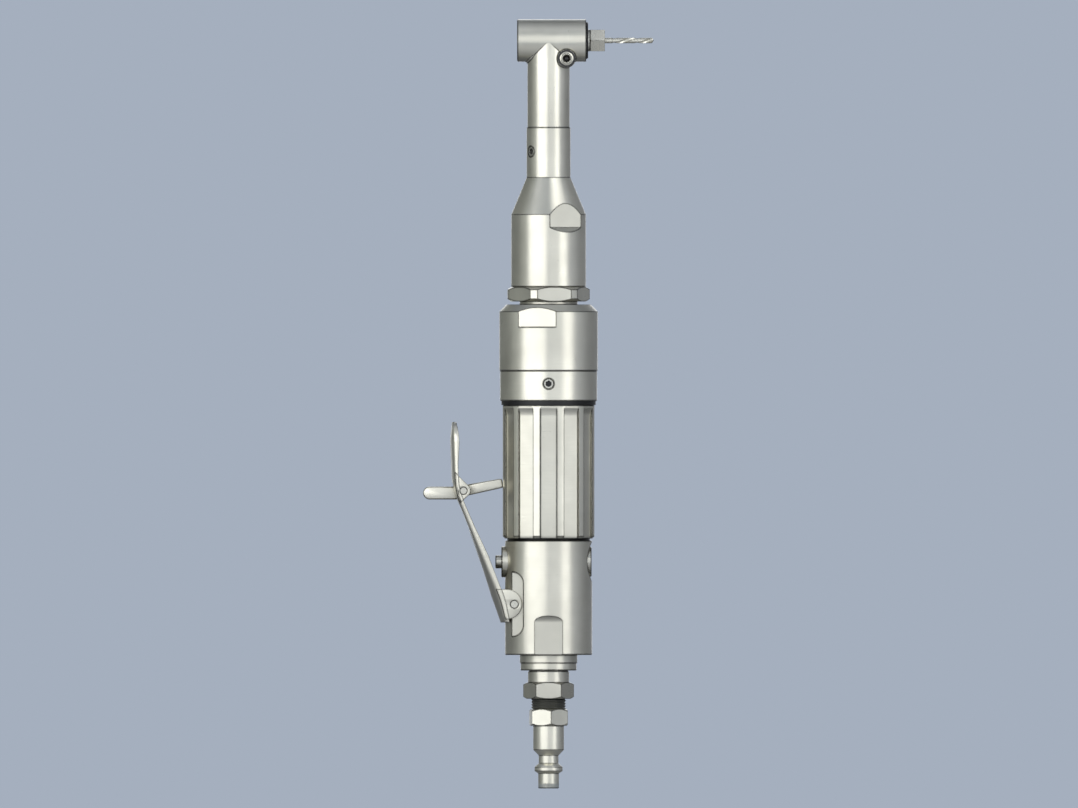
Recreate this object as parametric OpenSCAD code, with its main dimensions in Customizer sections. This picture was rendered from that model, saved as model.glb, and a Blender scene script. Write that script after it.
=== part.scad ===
// Right-angle air drill with a lever throttle. Millimetres.
// +Z runs up the tool axis to the angle head, +X points out along the drill bit.
// The origin is on the tool axis at the open end of the air plug.

/* [Air plug] */
// Radius of the plug's nose
plug_nose_r = 4.14; // [3.9:0.02:4.3]
// Length of the plug's nose
plug_nose_len = 6.04; // [5:0.1:8]
// Radius of the locking ring
plug_ring_r = 5.6; // [5.2:0.1:5.9]
// Length of the locking ring
plug_ring_len = 1.64; // [1.2:0.1:2.4]
// Radius of the locking groove
plug_neck_r = 3.96; // [3.7:0.02:4.1]
// Length of the locking groove
plug_neck_len = 3.1; // [2.5:0.1:4.5]
// Length of the slope from the nose to the locking ring
plug_lead_len = 0.96; // [0.5:0.02:1.5]
// Length of the slope from the locking ring to the groove
plug_back_len = 1.46; // [0.8:0.02:2]
// Length of the slope from the groove to the body
plug_slope_len = 2.3; // [1.5:0.1:3]
// Radius of the plug's body
plug_body_r = 6.15; // [5.9:0.05:6.5]
// Length of the plug's body
plug_body_len = 9.6; // [7:0.1:14]
// Plug hexagon across flats
plug_hex_af = 14.5; // [14:0.1:16]
// Length of the plug hexagon
plug_hex_len = 6.6; // [5:0.1:9]
// Turn of the plug hexagon about the tool's axis
plug_hex_turn = 7; // [-30:0.5:30]
// Radius of the plug's thread
thread_r = 7; // [6.5:0.05:7.2]
// Length of thread that shows below the bushing
thread_show = 4.2; // [2:0.1:6]
// Length of thread inside the bushing
thread_seat = 9.3; // [7:0.1:11]
// Radius of the air passage in the plug
plug_bore_r = 2.6; // [2:0.1:3]

/* [Inlet bushing and exhaust] */
// Bushing hexagon across flats
bush_hex_af = 17.56; // [17:0.1:19]
// Length of the bushing hexagon
bush_hex_len = 6.5; // [5:0.1:9]
// Radius of the bushing's collar
bush_collar_r = 8.24; // [8.1:0.02:8.5]
// Length of the bushing's collar
bush_collar_len = 4.4; // [3:0.1:6]
// Length of the bushing's shoulder
bush_step_len = 0.4; // [0.3:0.1:1]
// Radius of the bushing's spigot
bush_spigot_r = 7.6; // [7.5:0.02:7.7]
// Length of the bushing's spigot
bush_spigot_len = 17; // [12:0.5:20]
// Radius of the passage in the bushing
bush_bore_r = 5; // [4:0.1:5.5]
// Radius of the deflector's lower step
defl_low_r = 11.2; // [11:0.05:11.4]
// Length of the deflector's lower step
defl_low_len = 3; // [2.5:0.1:5]
// Radius of the deflector's upper step
defl_high_r = 11.5; // [11.4:0.05:12.5]
// Length of the deflector's upper step
defl_high_len = 3.2; // [2.5:0.1:6]
// Deflector wall
defl_wall = 0.9; // [0.7:0.05:1.1]
// Deflector floor
defl_floor = 1.6; // [1.2:0.1:2]
// Number of exhaust holes in the deflector
defl_holes = 10; // [6:1:12]
// Radius of an exhaust hole
defl_hole_r = 0.8; // [0.5:0.05:0.9]

/* [Throttle housing] */
// Step from the spigot out to the housing
housing_step = 0.8; // [0.6:0.1:1.6]
// Housing length
housing_len = 45.8; // [44:0.5:60]
// Depth of the wrench flat
housing_flat_depth = 0.94; // [0.6:0.02:1.4]
// Length of the wrench flat
housing_flat_len = 13.1; // [10:0.1:16]
// Length of the flat's curved run-out
housing_runout = 2.5; // [1.5:0.1:3]
// Wall of the spigot round the motor
spigot_wall = 1.1; // [0.9:0.05:1.3]
// Height of the spigot inside the grip sleeve
housing_spigot_len = 6; // [4:0.5:8]
// Gap that shows between housing and grip sleeve
grip_gap = 0.8; // [0.4:0.1:1.5]
// Depth of the lever pocket
pocket_depth = 8.1; // [7.6:0.05:8.6]
// Pocket length along the tool
pocket_len = 25.8; // [22:0.2:30]
// Distance of the pocket's inner wall from the pivot
pocket_wall = 3.7; // [3.7:0.1:4.7]
// Pocket corner radius
pocket_corner = 4.5; // [3:0.1:6]
// Radius of an exhaust passage
exhaust_r = 1.4; // [1:0.1:1.45]

/* [Throttle valve] */
// Distance of the valve axis below the housing's top
valve_drop = 8.5; // [8.3:0.1:10]
// Stem radius
stem_r = 2.65; // [2.2:0.05:2.8]
// Length of stem outside its bushing
stem_show = 2.4; // [2.1:0.1:3.5]
// Valve bushing radius
valve_bush_r = 6.2; // [5.8:0.1:6.5]
// Length of bushing outside the housing
valve_bush_show = 1.5; // [1.1:0.1:1.9]
// Valve chamber radius
chamber_r = 6; // [5.6:0.05:6.1]
// Cap seat radius
cap_sink_r = 8; // [7.4:0.1:8.2]
// Depth of the cap seat below the housing's surface
cap_sink = 2.2; // [1.6:0.1:3]
// Cap socket across flats
cap_socket_af = 5; // [4:0.5:6]
// Number of turns of the throttle spring
spring_turns = 5; // [3:1:8]
// Wire radius of the throttle spring
spring_wire_r = 0.45; // [0.3:0.05:0.6]

/* [Grip sleeve] */
// Sleeve wall over the spigot, at a rib
sleeve_wall = 2.05; // [1.9:0.05:2.4]
// Sleeve length
sleeve_len = 53.4; // [44:0.5:70]
// Number of flutes
flutes = 12; // [8:1:12]
// Flute depth
flute_depth = 1.05; // [0.65:0.05:1.15]
// Flute width
flute_w = 6.5; // [6:0.1:7]
// Length of the plain band above the flutes
flute_top = 0.8; // [0.5:0.1:3]
// Length of a flute's curved end
flute_runout = 3.7; // [2:0.1:5]
// Chamfer at the sleeve's lower end
sleeve_chamfer = 0.9; // [0.5:0.1:1]
// Length of the ring above the sleeve
ring_len = 1.6; // [1:0.1:3]
// Step of that ring over the sleeve
ring_step = 0.25; // [0.1:0.05:0.7]
// Step of the clamp ring over the ring below it
clamp_step = 0.55; // [0.3:0.05:0.8]
// Clamp ring length
clamp_len = 12; // [10:0.5:16]
// Set screw radius
set_screw_r = 2.2; // [1.5:0.1:2.4]

/* [Motor] */
// Motor radius over the ring gear's pitch radius
motor_step = 1.1; // [0.9:0.05:1.3]
// Thickness of the motor cylinder's wall
motor_wall = 2.9; // [2.7:0.05:3.1]
// Distance of the cylinder's bore from the tool axis
motor_offset = 1; // [0.8:0.05:1]
// Least gap between rotor and cylinder
rotor_gap = 0.1; // [0.05:0.05:0.4]
// Number of vanes
vanes = 5; // [4:1:6]
// Vane thickness
vane_t = 1.5; // [1.2:0.1:2]
// Depth of a vane slot
vane_depth = 6; // [4:0.1:6.2]
// Rear shaft radius
rotor_rear_r = 3; // [2.5:0.1:3.5]
// Front shaft radius
rotor_front_r = 4; // [3.8:0.1:4.4]
// Rear end plate thickness
rear_plate_t = 5; // [4:0.1:7]
// Front end plate thickness
front_plate_t = 6; // [5:0.1:8]
// Thickness of the gasket under the motor
gasket_t = 0.5; // [0.3:0.1:1]

/* [Gear case] */
// Step of the gear case over the clamp ring
case_step = 0.25; // [0.1:0.05:1]
// Length of the gear case's full radius
case_len = 23.8; // [22:0.2:30]
// Chamfer at the gear case's top
case_chamfer = 2.8; // [2:0.1:3]
// Depth of the gear case flat
case_flat_depth = 1.6; // [1.1:0.05:1.9]
// Length of the full radius that the flat cuts
case_flat_len = 6.3; // [5:0.1:10]
// Direction of the gear case flat from the front
case_flat_turn = -14.5; // [-60:0.5:60]
// Radius of the gear case's neck
case_neck_r = 11.6; // [11.3:0.1:12.5]
// Length of the neck below the jam nut
case_neck_len = 1.2; // [0.8:0.1:3]
// Radius of the threaded nose
nose_r = 11; // [10.6:0.05:11]
// Length of the nose inside the angle adapter
nose_seat = 10.9; // [8:0.1:14]

/* [Planetary gears] */
// Gear module
gear_module = 0.8; // [0.78:0.005:0.82]
// Teeth on the sun gear
sun_teeth = 12; // [12]
// Teeth on each planet gear
planet_teeth = 12; // [12]
// Number of planet gears
planets = 3; // [3]
// Pressure angle
pressure_angle = 25; // [24:0.5:26]
// Gear face width
gear_w = 7; // [5:0.1:8]
// Planet pin radius
planet_pin_r = 1.5; // [1.2:0.05:1.8]
// Carrier plate thickness
carrier_t = 3.1; // [2.5:0.1:4]
// Carrier shaft radius
carrier_shaft_r = 5; // [4.5:0.1:5.5]

/* [Angle adapter] */
// Jam nut across flats
nut_af = 30; // [29:0.1:31]
// Jam nut corner radius
nut_corner_r = 16.5; // [16:0.05:17]
// Jam nut length
nut_len = 5.8; // [4:0.1:9]
// Turn of the jam nut's flat from the front
nut_turn = 9; // [-30:1:30]
// Adapter body radius
adapter_r = 14.95; // [14.5:0.05:15.5]
// Adapter body length
adapter_len = 29; // [26:0.5:36]
// Adapter cone length
adapter_cone = 14.8; // [12:0.2:18]
// Adapter tube radius
adapter_tube_r = 8.78; // [8.7:0.02:9.2]
// Adapter tube length
adapter_tube = 20; // [18:0.5:26]
// Depth of the adapter's flats
adapter_flat_depth = 1.85; // [1.35:0.05:2.35]
// Turn of the adapter's flat from the front
adapter_flat_turn = 30.9; // [-60:0.1:60]
// Length of the adapter flat below the cone
adapter_flat_len = 5.2; // [3:0.1:8]

/* [Angle head] */
// Radius of the head's barrel
head_r = 8.5; // [8.4:0.05:9]
// Radius of the head's neck
neck_r = 8.45; // [8.3:0.05:8.6]
// Distance from the adapter to the spindle axis
head_rise = 34.8; // [33:0.2:40]
// Barrel length towards the drill bit
head_front = 15; // [14.8:0.1:18]
// Barrel length to the rear
head_rear = 12.6; // [12.5:0.1:15]
// Wall of the barrel and the neck
head_wall = 1.9; // [1.8:0.02:2]
// Retainer flange radius
retainer_r = 7.4; // [7:0.1:8]
// Retainer flange length
retainer_len = 0.8; // [0.6:0.1:1.5]
// Spindle front radius
spindle_r = 4.4; // [4.2:0.05:4.6]
// Length of the spindle in front of the retainer
spindle_show = 1; // [0.6:0.1:3]
// Spindle rear shaft radius
spindle_rear_r = 2.2; // [2:0.05:2.3]
// Fitting distance along the spindle axis
boss_x = 7.2; // [6.8:0.1:7.4]
// Fitting distance below the spindle axis
boss_drop = 7.2; // [7:0.1:7.5]
// Fitting boss radius
boss_r = 3.7; // [3.4:0.1:4]
// Distance of the boss face from the tool axis
boss_reach = 8.3; // [8.2:0.1:9.5]

/* [Bevel gears] */
// Teeth on each bevel gear
bevel_teeth = 14; // [12:2:16]
// Pitch radius of the bevel gears
bevel_r = 5.25; // [5:0.05:5.3]
// Face width of the bevel gears along their axis
bevel_face = 1.85; // [1.4:0.05:2]
// Drive shaft radius
drive_r = 3; // [2.6:0.1:3.2]

/* [Drill bit] */
// Hexagon across flats
bit_hex_af = 8.6; // [7.5:0.1:9]
// Hexagon length
bit_hex_len = 5.7; // [4:0.1:8]
// Bit radius
bit_r = 1.1; // [0.8:0.05:2]
// Length of bit in front of the hexagon
bit_len = 19.55; // [12:0.5:40]
// Length of the plain shank before the flutes
bit_plain = 2.9; // [1:0.1:5]
// Radius of the bit's thread
bit_thread_r = 3.1; // [2.6:0.05:3.2]
// Length of the bit's thread
bit_thread_len = 8; // [6:0.1:9]
// Turns of the flutes
bit_turns = 0.9; // [0.5:0.1:4]

/* [Throttle lever] */
// Depth of the pivot below the housing's surface
pivot_inset = 3.7; // [3.4:0.05:3.9]
// Height of the pivot above the housing's lower end
pivot_rise = 20.3; // [19.8:0.1:21]
// Pivot pin radius
pivot_r = 1.6; // [1.4:0.05:1.8]
// Lever sheet thickness
sheet_t = 1.3; // [1.1:0.05:1.4]
// Ear radius
ear_r = 6; // [5.5:0.1:6.2]
// Distance of the ear's centre behind the pivot
ear_back = 2.9; // [2.5:0.1:3.2]
// Lever lean between its bends
main_lean = 22.6; // [21.5:0.1:23]
// Lever lean at the heel
heel_lean = 14.4; // [12:0.2:16]
// Lever lean at the tip
tip_lean = 2; // [0:0.2:4]
// Lever length above the pivot
lever_top = 72.9; // [66:0.5:76]
// Lever length below the pivot
lever_heel = 7.3; // [6:0.1:8]
// Corner radius of the lever's tip
tip_corner = 7.2; // [5:0.1:9]

/* [Safety latch] */
// Latch pin's height above the pivot
latch_rise = 45.4; // [45:0.1:46]
// Distance of the latch pin in front of the lever's back
latch_stand = 3.09; // [2.9:0.01:3.3]
// Latch pin radius
latch_pin_r = 1.5; // [1.2:0.05:1.6]
// Lug radius round the latch pin
lug_r = 2.8; // [2.5:0.05:3]
// Width of the thumb arm
thumb_w = 9; // [7:0.1:10]
// Reach of the thumb arm from the pin
thumb_len = 16.2; // [14:0.1:18]
// Thickness of the thumb arm
thumb_t = 5.2; // [4.4:0.1:5.4]
// Width of the blocking arm
foot_w = 5; // [4:0.1:5.2]
// Reach of the blocking arm from the pin
foot_len = 15.7; // [15:0.05:15.75]
// Thickness of the blocking arm at its end
foot_t = 3.8; // [3.2:0.1:4]
// Rise of the blocking arm
foot_rise = 11.2; // [10:0.1:12]
// Turns of the latch spring
latch_turns = 3; // [2:1:4]

/* [Fits] */
// Clearance of a running fit
run_gap = 0.05; // [0.02:0.01:0.08]
// Clearance at the end of a part that turns
end_gap = 0.1; // [0.05:0.01:0.2]
// Clearance of a fixed fit
seat_gap = 0.03; // [0.01:0.01:0.05]
// Thinning of each tooth flank
tooth_slack = 0.06; // [0.04:0.01:0.1]
// Small chamfer on turned edges
edge_break = 0.3; // [0.2:0.05:0.4]

/* [Hidden] */
$fn = 96;
far = 60;
join = 0.5;

// Heights along the tool axis, each from the piece below it
plug_ring_z = plug_nose_len + plug_lead_len;
plug_neck_z = plug_ring_z + plug_ring_len + plug_back_len;
plug_body_z = plug_neck_z + plug_neck_len + plug_slope_len;
plug_hex_z = plug_body_z + plug_body_len;
thread_z = plug_hex_z + plug_hex_len;
bush_z = thread_z + thread_show;
screen_t = 0.8;
bush_seat_z = bush_z + thread_seat + screen_t;
bush_collar_z = bush_z + bush_hex_len;
bush_step_z = bush_collar_z + bush_collar_len;
defl_z = bush_step_z + bush_step_len;
housing_z = defl_z + defl_low_len + defl_high_len;
housing_top = housing_z + housing_len;
sleeve_z = housing_top + grip_gap;
sleeve_top = sleeve_z + sleeve_len;
clamp_z = sleeve_top + ring_len;
case_z = clamp_z + clamp_len;
case_shoulder = case_z + case_len;
case_top = case_shoulder + case_chamfer;
nut_z = case_top + case_neck_len;
adapter_z = nut_z + nut_len;
adapter_cone_z = adapter_z + adapter_len;
adapter_tube_z = adapter_cone_z + adapter_cone;
head_z = adapter_tube_z + adapter_tube;
head_axis = head_z + head_rise;

// Radii from the ring gear out to the gear case
sun_pitch_r = gear_module * sun_teeth / 2;
planet_pitch_r = gear_module * planet_teeth / 2;
planet_orbit = sun_pitch_r + planet_pitch_r;
ring_teeth = sun_teeth + 2 * planet_teeth;
ring_pitch_r = gear_module * ring_teeth / 2;
tooth_add = 0.8 * gear_module;
tooth_ded = 1.05 * gear_module;
motor_r = ring_pitch_r + motor_step;
motor_bore_r = motor_r - motor_wall;
rotor_r = motor_bore_r - motor_offset - rotor_gap;
housing_spigot_r = motor_r + spigot_wall;
housing_r = housing_spigot_r + housing_step;
housing_flat = housing_r - housing_flat_depth;
sleeve_r = housing_spigot_r + sleeve_wall;
flute_floor = sleeve_r - flute_depth;
ring_r = sleeve_r + ring_step;
clamp_r = ring_r + clamp_step;
case_r = clamp_r + case_step;
case_flat = case_r - case_flat_depth;
case_spigot_r = case_r - 2.1;
ring_r_out = ring_pitch_r + 1.8;

// Motor stack, from the housing's spigot to the gear case
motor_z = sleeve_z + housing_spigot_len;
rear_plate_z = motor_z + gasket_t;
cylinder_z = rear_plate_z + rear_plate_t;
front_plate_top = clamp_z + 1.2;
cylinder_top = front_plate_top - front_plate_t;
rear_bearing_r = 6.5;
front_bearing_r = 8;
sun_shaft_r = 2.4;
clamp_spigot_r = housing_spigot_r;
clamp_spigot_z = cylinder_top - 0.7;

// Planetary gear train
gear_z = case_z + 1.8;
carrier_z = gear_z + gear_w + 3 * end_gap;
ring_top = carrier_z + carrier_t + 3 * end_gap;
carrier_bearing_z = ring_top + 1;
carrier_bearing_r = 9.5;
carrier_bearing_t = 6;
carrier_shaft_top = nut_z + 4;
hex_seat_af = 5;
nose_top = adapter_z + nose_seat;

// Throttle valve, along X at this height
valve_z = housing_top - valve_drop;
valve_bush_reach = housing_r + valve_bush_show;
stem_reach = valve_bush_reach + stem_show;
valve_bush_in = 10;
seat_x = -5.6;
seat_t = 2.4;
seal_x = seat_x + seat_t;
seal_t = 1.2;
head_t = 1.6;
guide_r = 1.6;
guide_len = 3;
valve_head_r = chamber_r - 0.8;
spring_r = 3.2;
exhaust_x = 3.4;
exhaust_y = bush_spigot_r + 1;
cap_x = 9.6;
cap_face = housing_r - 0.2;
cap_sink_x = housing_r - cap_sink;
passage_x = 2.5;
passage_r = 3;

// Lever and latch points, in the tool's own axes
pivot_z = housing_z + pivot_rise;
pivot_x = housing_r - pivot_inset;
pocket_x = pivot_x - pocket_wall;
pocket_y = housing_r - pocket_depth;
lever_half = pocket_y + end_gap + sheet_t;
lever_len = lever_heel + lever_top;
ear_x = -pivot_x - ear_back;
lever_low = pivot_z - lever_heel;
lever_high = pivot_z + lever_top;
heel_x = ear_x - 0.6;
heel_bend = 6;
tip_bend = 12;
tip_bend_drop = 6.5;
latch_z = pivot_z + latch_rise;
latch_x = lever_edge(latch_z) + latch_stand;

// Angle head, along X at the spindle axis
head_bore_r = head_r - head_wall;
head_spigot_r = neck_r - 0.85;
head_spigot_z = adapter_tube_z + 2;
neck_bore_r = neck_r - head_wall;
barrel_end = -head_rear + 1.3;
bevel_heel = head_axis - bevel_r;
gear_hub_r = 4;
gear_hub_x = -8.2;
front_bearing_x = 8.6;
front_bearing_t = 4.5;
rear_bearing_x = barrel_end + 0.1;
rear_bearing_t = gear_hub_x - rear_bearing_x - 2 * end_gap;
spindle_tip = head_front + retainer_len + spindle_show;
bit_x = spindle_tip;

// A solid turned from [radius, height] points
module turned(points)
{
    rotate_extrude()
        polygon(points);
}

// Moves a piece built along Z so that it points along +X from height h
module along_x(x, h)
{
    translate([x, 0, h])
        rotate([0, 90, 0])
            children();
}

// Hexagonal bar with a flat towards +X and both ends chamfered, or only those named
module hex_bar(af, h, low, high)
{
    corner = af / sqrt(3);
    bevel = corner - af / 2;
    intersection() {
        rotate([0, 0, 30])
            cylinder(r = corner, h = h, $fn = 6);
        turned([[0, 0], [corner - bevel * low, 0], [corner + 0.01, bevel * 0.6 * low],
            [corner + 0.01, h - bevel * 0.6 * high], [corner - bevel * high, h], [0, h]]);
    }
}

// Plain ball bearing outline: rings with a sunk shield on both faces
module bearing(r_in, r_out, t)
{
    land = (r_out - r_in) * 0.28;
    sink = 0.25;
    turned([[r_in, 0], [r_in + land, 0], [r_in + land, sink], [r_out - land, sink],
        [r_out - land, 0], [r_out, 0], [r_out, t], [r_out - land, t],
        [r_out - land, t - sink], [r_in + land, t - sink], [r_in + land, t], [r_in, t]]);
}

// Straight set screw with a hexagonal socket in its top face
module set_screw(r, h, af)
{
    difference() {
        cylinder(r = r, h = h);
        translate([0, 0, h - min(h * 0.6, af * 0.6)])
            cylinder(r = af / sqrt(3), h = h, $fn = 6);
    }
}

// Wire swept along a helix about Z; the ends are flat
function helix_ring(i, n, turns, r, h, wire, sides) =
    let (a = 360 * turns * i / n, lift = atan(h / (2 * PI * r * turns)))
    [for (k = [0:sides - 1])
        let (b = 360 * k / sides, u = wire * cos(b), v = wire * sin(b))
        [(r + u) * cos(a) + v * sin(lift) * sin(a),
         (r + u) * sin(a) - v * sin(lift) * cos(a),
         h * i / n + v * cos(lift)]];

module coil(turns, r, h, wire)
{
    sides = 6;
    n = turns * 12;
    echo(least_gap = h / turns - 2 * wire);
    points = [for (i = [0:n]) each helix_ring(i, n, turns, r, h, wire, sides)];
    sides_faces = [for (i = [0:n - 1], k = [0:sides - 1])
        let (a = i * sides + k, b = i * sides + (k + 1) % sides)
        each [[a, a + sides, b], [b, a + sides, b + sides]]];
    low = [for (k = [0:sides - 1]) k];
    high = [for (k = [sides - 1:-1:0]) n * sides + k];
    polyhedron(points, concat(sides_faces, [low, high]));
}

// Involute angle in degrees, and half a tooth's angle at radius r
function involute(a) = tan(a) * 180 / PI - a;
function half_tooth(r, pitch_r, teeth, slack) =
    let (base = pitch_r * cos(pressure_angle), a = r > base ? acos(base / r) : 0)
    90 / teeth - slack / pitch_r * 180 / PI + involute(pressure_angle) - involute(a);
function polar(r, a) = [r * cos(a), r * sin(a)];

// Outline of a spur gear with a tooth at angle zero
function spur_points(teeth, r_low, r_high, slack) =
    let (pitch_r = gear_module * teeth / 2,
        steps = [for (k = [0:5]) r_low + (r_high - r_low) * k / 5])
    [for (i = [0:teeth - 1])
        let (c = 360 * i / teeth)
        each concat(
            [for (r = steps) polar(r, c - half_tooth(r, pitch_r, teeth, slack))],
            [for (k = [5:-1:0])
                polar(steps[k], c + half_tooth(steps[k], pitch_r, teeth, slack))])];

// Outline of a bevel gear's teeth at its heel, where the apex is bevel_r away
function bevel_half(y, slack) =
    let (back_r = bevel_r * sqrt(2))
    half_tooth(back_r + y, back_r, bevel_teeth * sqrt(2), slack) * (back_r + y)
        / (bevel_r + y / sqrt(2));
function bevel_radius(y) =
    bevel_r * (bevel_r + y / sqrt(2)) / (bevel_r - y / sqrt(2));
function bevel_points(slack) =
    let (unit = 2 * bevel_r / bevel_teeth,
        steps = [for (k = [0:4]) -0.96 * unit + 1.72 * unit * k / 4])
    [for (i = [0:bevel_teeth - 1])
        let (c = 360 * i / bevel_teeth)
        each concat(
            [for (y = steps) polar(bevel_radius(y), c - bevel_half(y, slack))],
            [for (k = [4:-1:0])
                polar(bevel_radius(steps[k]), c + bevel_half(steps[k], slack))])];

module bevel_teeth_body()
{
    linear_extrude(height = bevel_face, scale = (bevel_r - bevel_face) / bevel_r)
        polygon(bevel_points(tooth_slack + 0.03));
}

module air_plug()
{
    c = edge_break;
    color("silver")
        difference() {
            union() {
                turned([[0, 0], [plug_nose_r - c, 0], [plug_nose_r, c],
                    [plug_nose_r, plug_nose_len], [plug_ring_r, plug_ring_z],
                    [plug_ring_r, plug_ring_z + plug_ring_len], [plug_neck_r, plug_neck_z],
                    [plug_neck_r, plug_neck_z + plug_neck_len], [plug_body_r, plug_body_z],
                    [plug_body_r, plug_hex_z + join], [0, plug_hex_z + join]]);
                translate([0, 0, plug_hex_z])
                    rotate([0, 0, plug_hex_turn])
                        hex_bar(plug_hex_af, plug_hex_len, 1, 1);
                translate([0, 0, thread_z - join])
                    cylinder(r = thread_r, h = thread_show + thread_seat + join);
            }
            translate([0, 0, -1])
                cylinder(r = plug_bore_r, h = bush_seat_z);
        }
}

module inlet_screen()
{
    pitch = 1.5;
    color("gray")
        translate([0, 0, bush_seat_z - screen_t])
            difference() {
                cylinder(r = thread_r, h = screen_t);
                for (i = [-2:2], j = [-2:2])
                    translate([i * pitch, j * pitch, -1])
                        cylinder(r = pitch / 3, h = screen_t + 2, $fn = 24);
            }
}

module inlet_bushing()
{
    color("silver")
        difference() {
            union() {
                translate([0, 0, bush_z])
                    rotate([0, 0, 30])
                        hex_bar(bush_hex_af, bush_hex_len, 1, 1);
                translate([0, 0, bush_collar_z - join])
                    cylinder(r = bush_collar_r, h = bush_collar_len + join);
                translate([0, 0, bush_step_z])
                    cylinder(r = bush_spigot_r + 0.3, h = bush_step_len);
                translate([0, 0, defl_z])
                    cylinder(r = bush_spigot_r, h = bush_spigot_len);
            }
            translate([0, 0, bush_z - 1])
                cylinder(r = thread_r + seat_gap, h = bush_seat_z - bush_z + 1);
            translate([0, 0, bush_z])
                cylinder(r = bush_bore_r, h = far);
        }
}

module exhaust_deflector()
{
    z1 = defl_z + defl_low_len;
    hole_ring = (bush_spigot_r + defl_low_r) / 2;
    inner = defl_low_r - defl_wall;
    color("gainsboro")
        difference() {
            turned([[bush_spigot_r + seat_gap, defl_z], [defl_low_r - edge_break, defl_z],
                [defl_low_r, defl_z + edge_break], [defl_low_r, z1], [defl_high_r, z1],
                [defl_high_r, housing_z], [inner, housing_z], [inner, defl_z + defl_floor],
                [bush_spigot_r + seat_gap, defl_z + defl_floor]]);
            for (i = [0:defl_holes - 1])
                rotate([0, 0, 360 * i / defl_holes])
                    translate([hole_ring, 0, defl_z - 1])
                        cylinder(r = defl_hole_r, h = defl_floor + 2);
        }
}

module muffler()
{
    r_in = bush_spigot_r + 0.3;
    r_out = defl_low_r - defl_wall - 0.2;
    z0 = defl_z + defl_floor;
    color("dimgray")
        turned([[r_in, z0], [r_out, z0], [r_out, housing_z], [r_in, housing_z]]);
}

// Flat cut across a turned body: straight for h, then a curved run-out upwards
module flat_cut(turn, dist, r, h, runout)
{
    depth = r - dist;
    cutter = (runout * runout + depth * depth) / (2 * depth);
    rotate([0, 0, turn - 90]) {
        translate([dist, -far / 2, -1])
            cube([far, far, h + 1]);
        translate([dist + cutter, 0, h])
            rotate([90, 0, 0])
                cylinder(r = cutter, h = far, center = true);
    }
}

// Pocket beside the lever's ear on one side of the housing
module lever_pocket(side)
{
    z0 = pivot_z - pocket_len / 2;
    translate([0, side * (pocket_y + far / 2), 0])
        rotate([90, 0, 0])
            linear_extrude(height = far, center = true)
                union() {
                    translate([-pocket_x - far, z0])
                        square([far - pocket_corner, pocket_len]);
                    translate([-pocket_x - far, z0 + pocket_corner])
                        square([far, pocket_len - 2 * pocket_corner]);
                    for (z = [z0 + pocket_corner, z0 + pocket_len - pocket_corner])
                        translate([-pocket_x - pocket_corner, z])
                            circle(r = pocket_corner);
                }
}

module throttle_housing()
{
    color("gainsboro")
        difference() {
            turned([[0, housing_z], [housing_r - edge_break, housing_z],
                [housing_r, housing_z + edge_break], [housing_r, housing_top - edge_break],
                [housing_r - edge_break, housing_top], [housing_spigot_r, housing_top],
                [housing_spigot_r, motor_z], [0, motor_z]]);
            for (turn = [0, 180])
                translate([0, 0, housing_z])
                    flat_cut(turn, housing_flat, housing_r, housing_flat_len, housing_runout);
            for (side = [-1, 1])
                lever_pocket(side);
            translate([-pivot_x, 0, pivot_z])
                rotate([90, 0, 0])
                    cylinder(r = pivot_r, h = far, center = true);
            translate([0, 0, housing_z - 1])
                cylinder(r = bush_spigot_r + seat_gap, h = bush_spigot_len - defl_low_len
                    - defl_high_len + 1.5);
            translate([passage_x, 0, housing_z])
                cylinder(r = passage_r, h = valve_z - housing_z);
            along_x(-valve_bush_in, valve_z)
                cylinder(r = chamber_r, h = cap_x + valve_bush_in);
            along_x(-far, valve_z)
                cylinder(r = valve_bush_r + seat_gap, h = far - valve_bush_in);
            along_x(0, valve_z)
                cylinder(r = chamber_r + seat_gap, h = far);
            along_x(cap_sink_x, valve_z)
                cylinder(r = cap_sink_r, h = far);
            translate([-valve_bush_in + 2.2, 0, valve_z])
                cylinder(r = 2, h = far);
            for (x = [-1, 1], y = [-1, 1])
                translate([exhaust_x * x, exhaust_y * y, housing_z - 1])
                    cylinder(r = exhaust_r, h = far);
        }
}

module valve_bushing()
{
    color("silver")
        along_x(-valve_bush_reach, valve_z)
            turned([[stem_r + run_gap, 0], [valve_bush_r - edge_break, 0],
                [valve_bush_r, edge_break], [valve_bush_r, valve_bush_reach - valve_bush_in],
                [stem_r + run_gap, valve_bush_reach - valve_bush_in]]);
}

module throttle_valve()
{
    head = seal_x + seal_t;
    along = stem_reach + head;
    color("silver")
        along_x(-stem_reach, valve_z)
            turned([[0, 0], [stem_r - edge_break, 0], [stem_r, edge_break],
                [stem_r, along], [valve_head_r, along], [valve_head_r, along + head_t],
                [guide_r, along + head_t], [guide_r, along + head_t + guide_len],
                [0, along + head_t + guide_len]]);
}

module valve_face_seal()
{
    color("dimgray")
        along_x(seal_x + end_gap / 2, valve_z)
            turned([[stem_r, 0], [valve_head_r, 0], [valve_head_r, seal_t - end_gap / 2],
                [stem_r, seal_t - end_gap / 2]]);
}

module valve_seat()
{
    color("peru")
        along_x(seat_x, valve_z)
            turned([[stem_r + 1.2, 0], [chamber_r, 0], [chamber_r, seat_t],
                [stem_r + 1.2, seat_t]]);
}

module throttle_spring()
{
    x0 = seal_x + seal_t + head_t;
    gap = spring_wire_r;
    color("gray")
        along_x(x0 + gap, valve_z)
            coil(spring_turns, spring_r, cap_x - x0 - 2 * gap, spring_wire_r);
}

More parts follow.
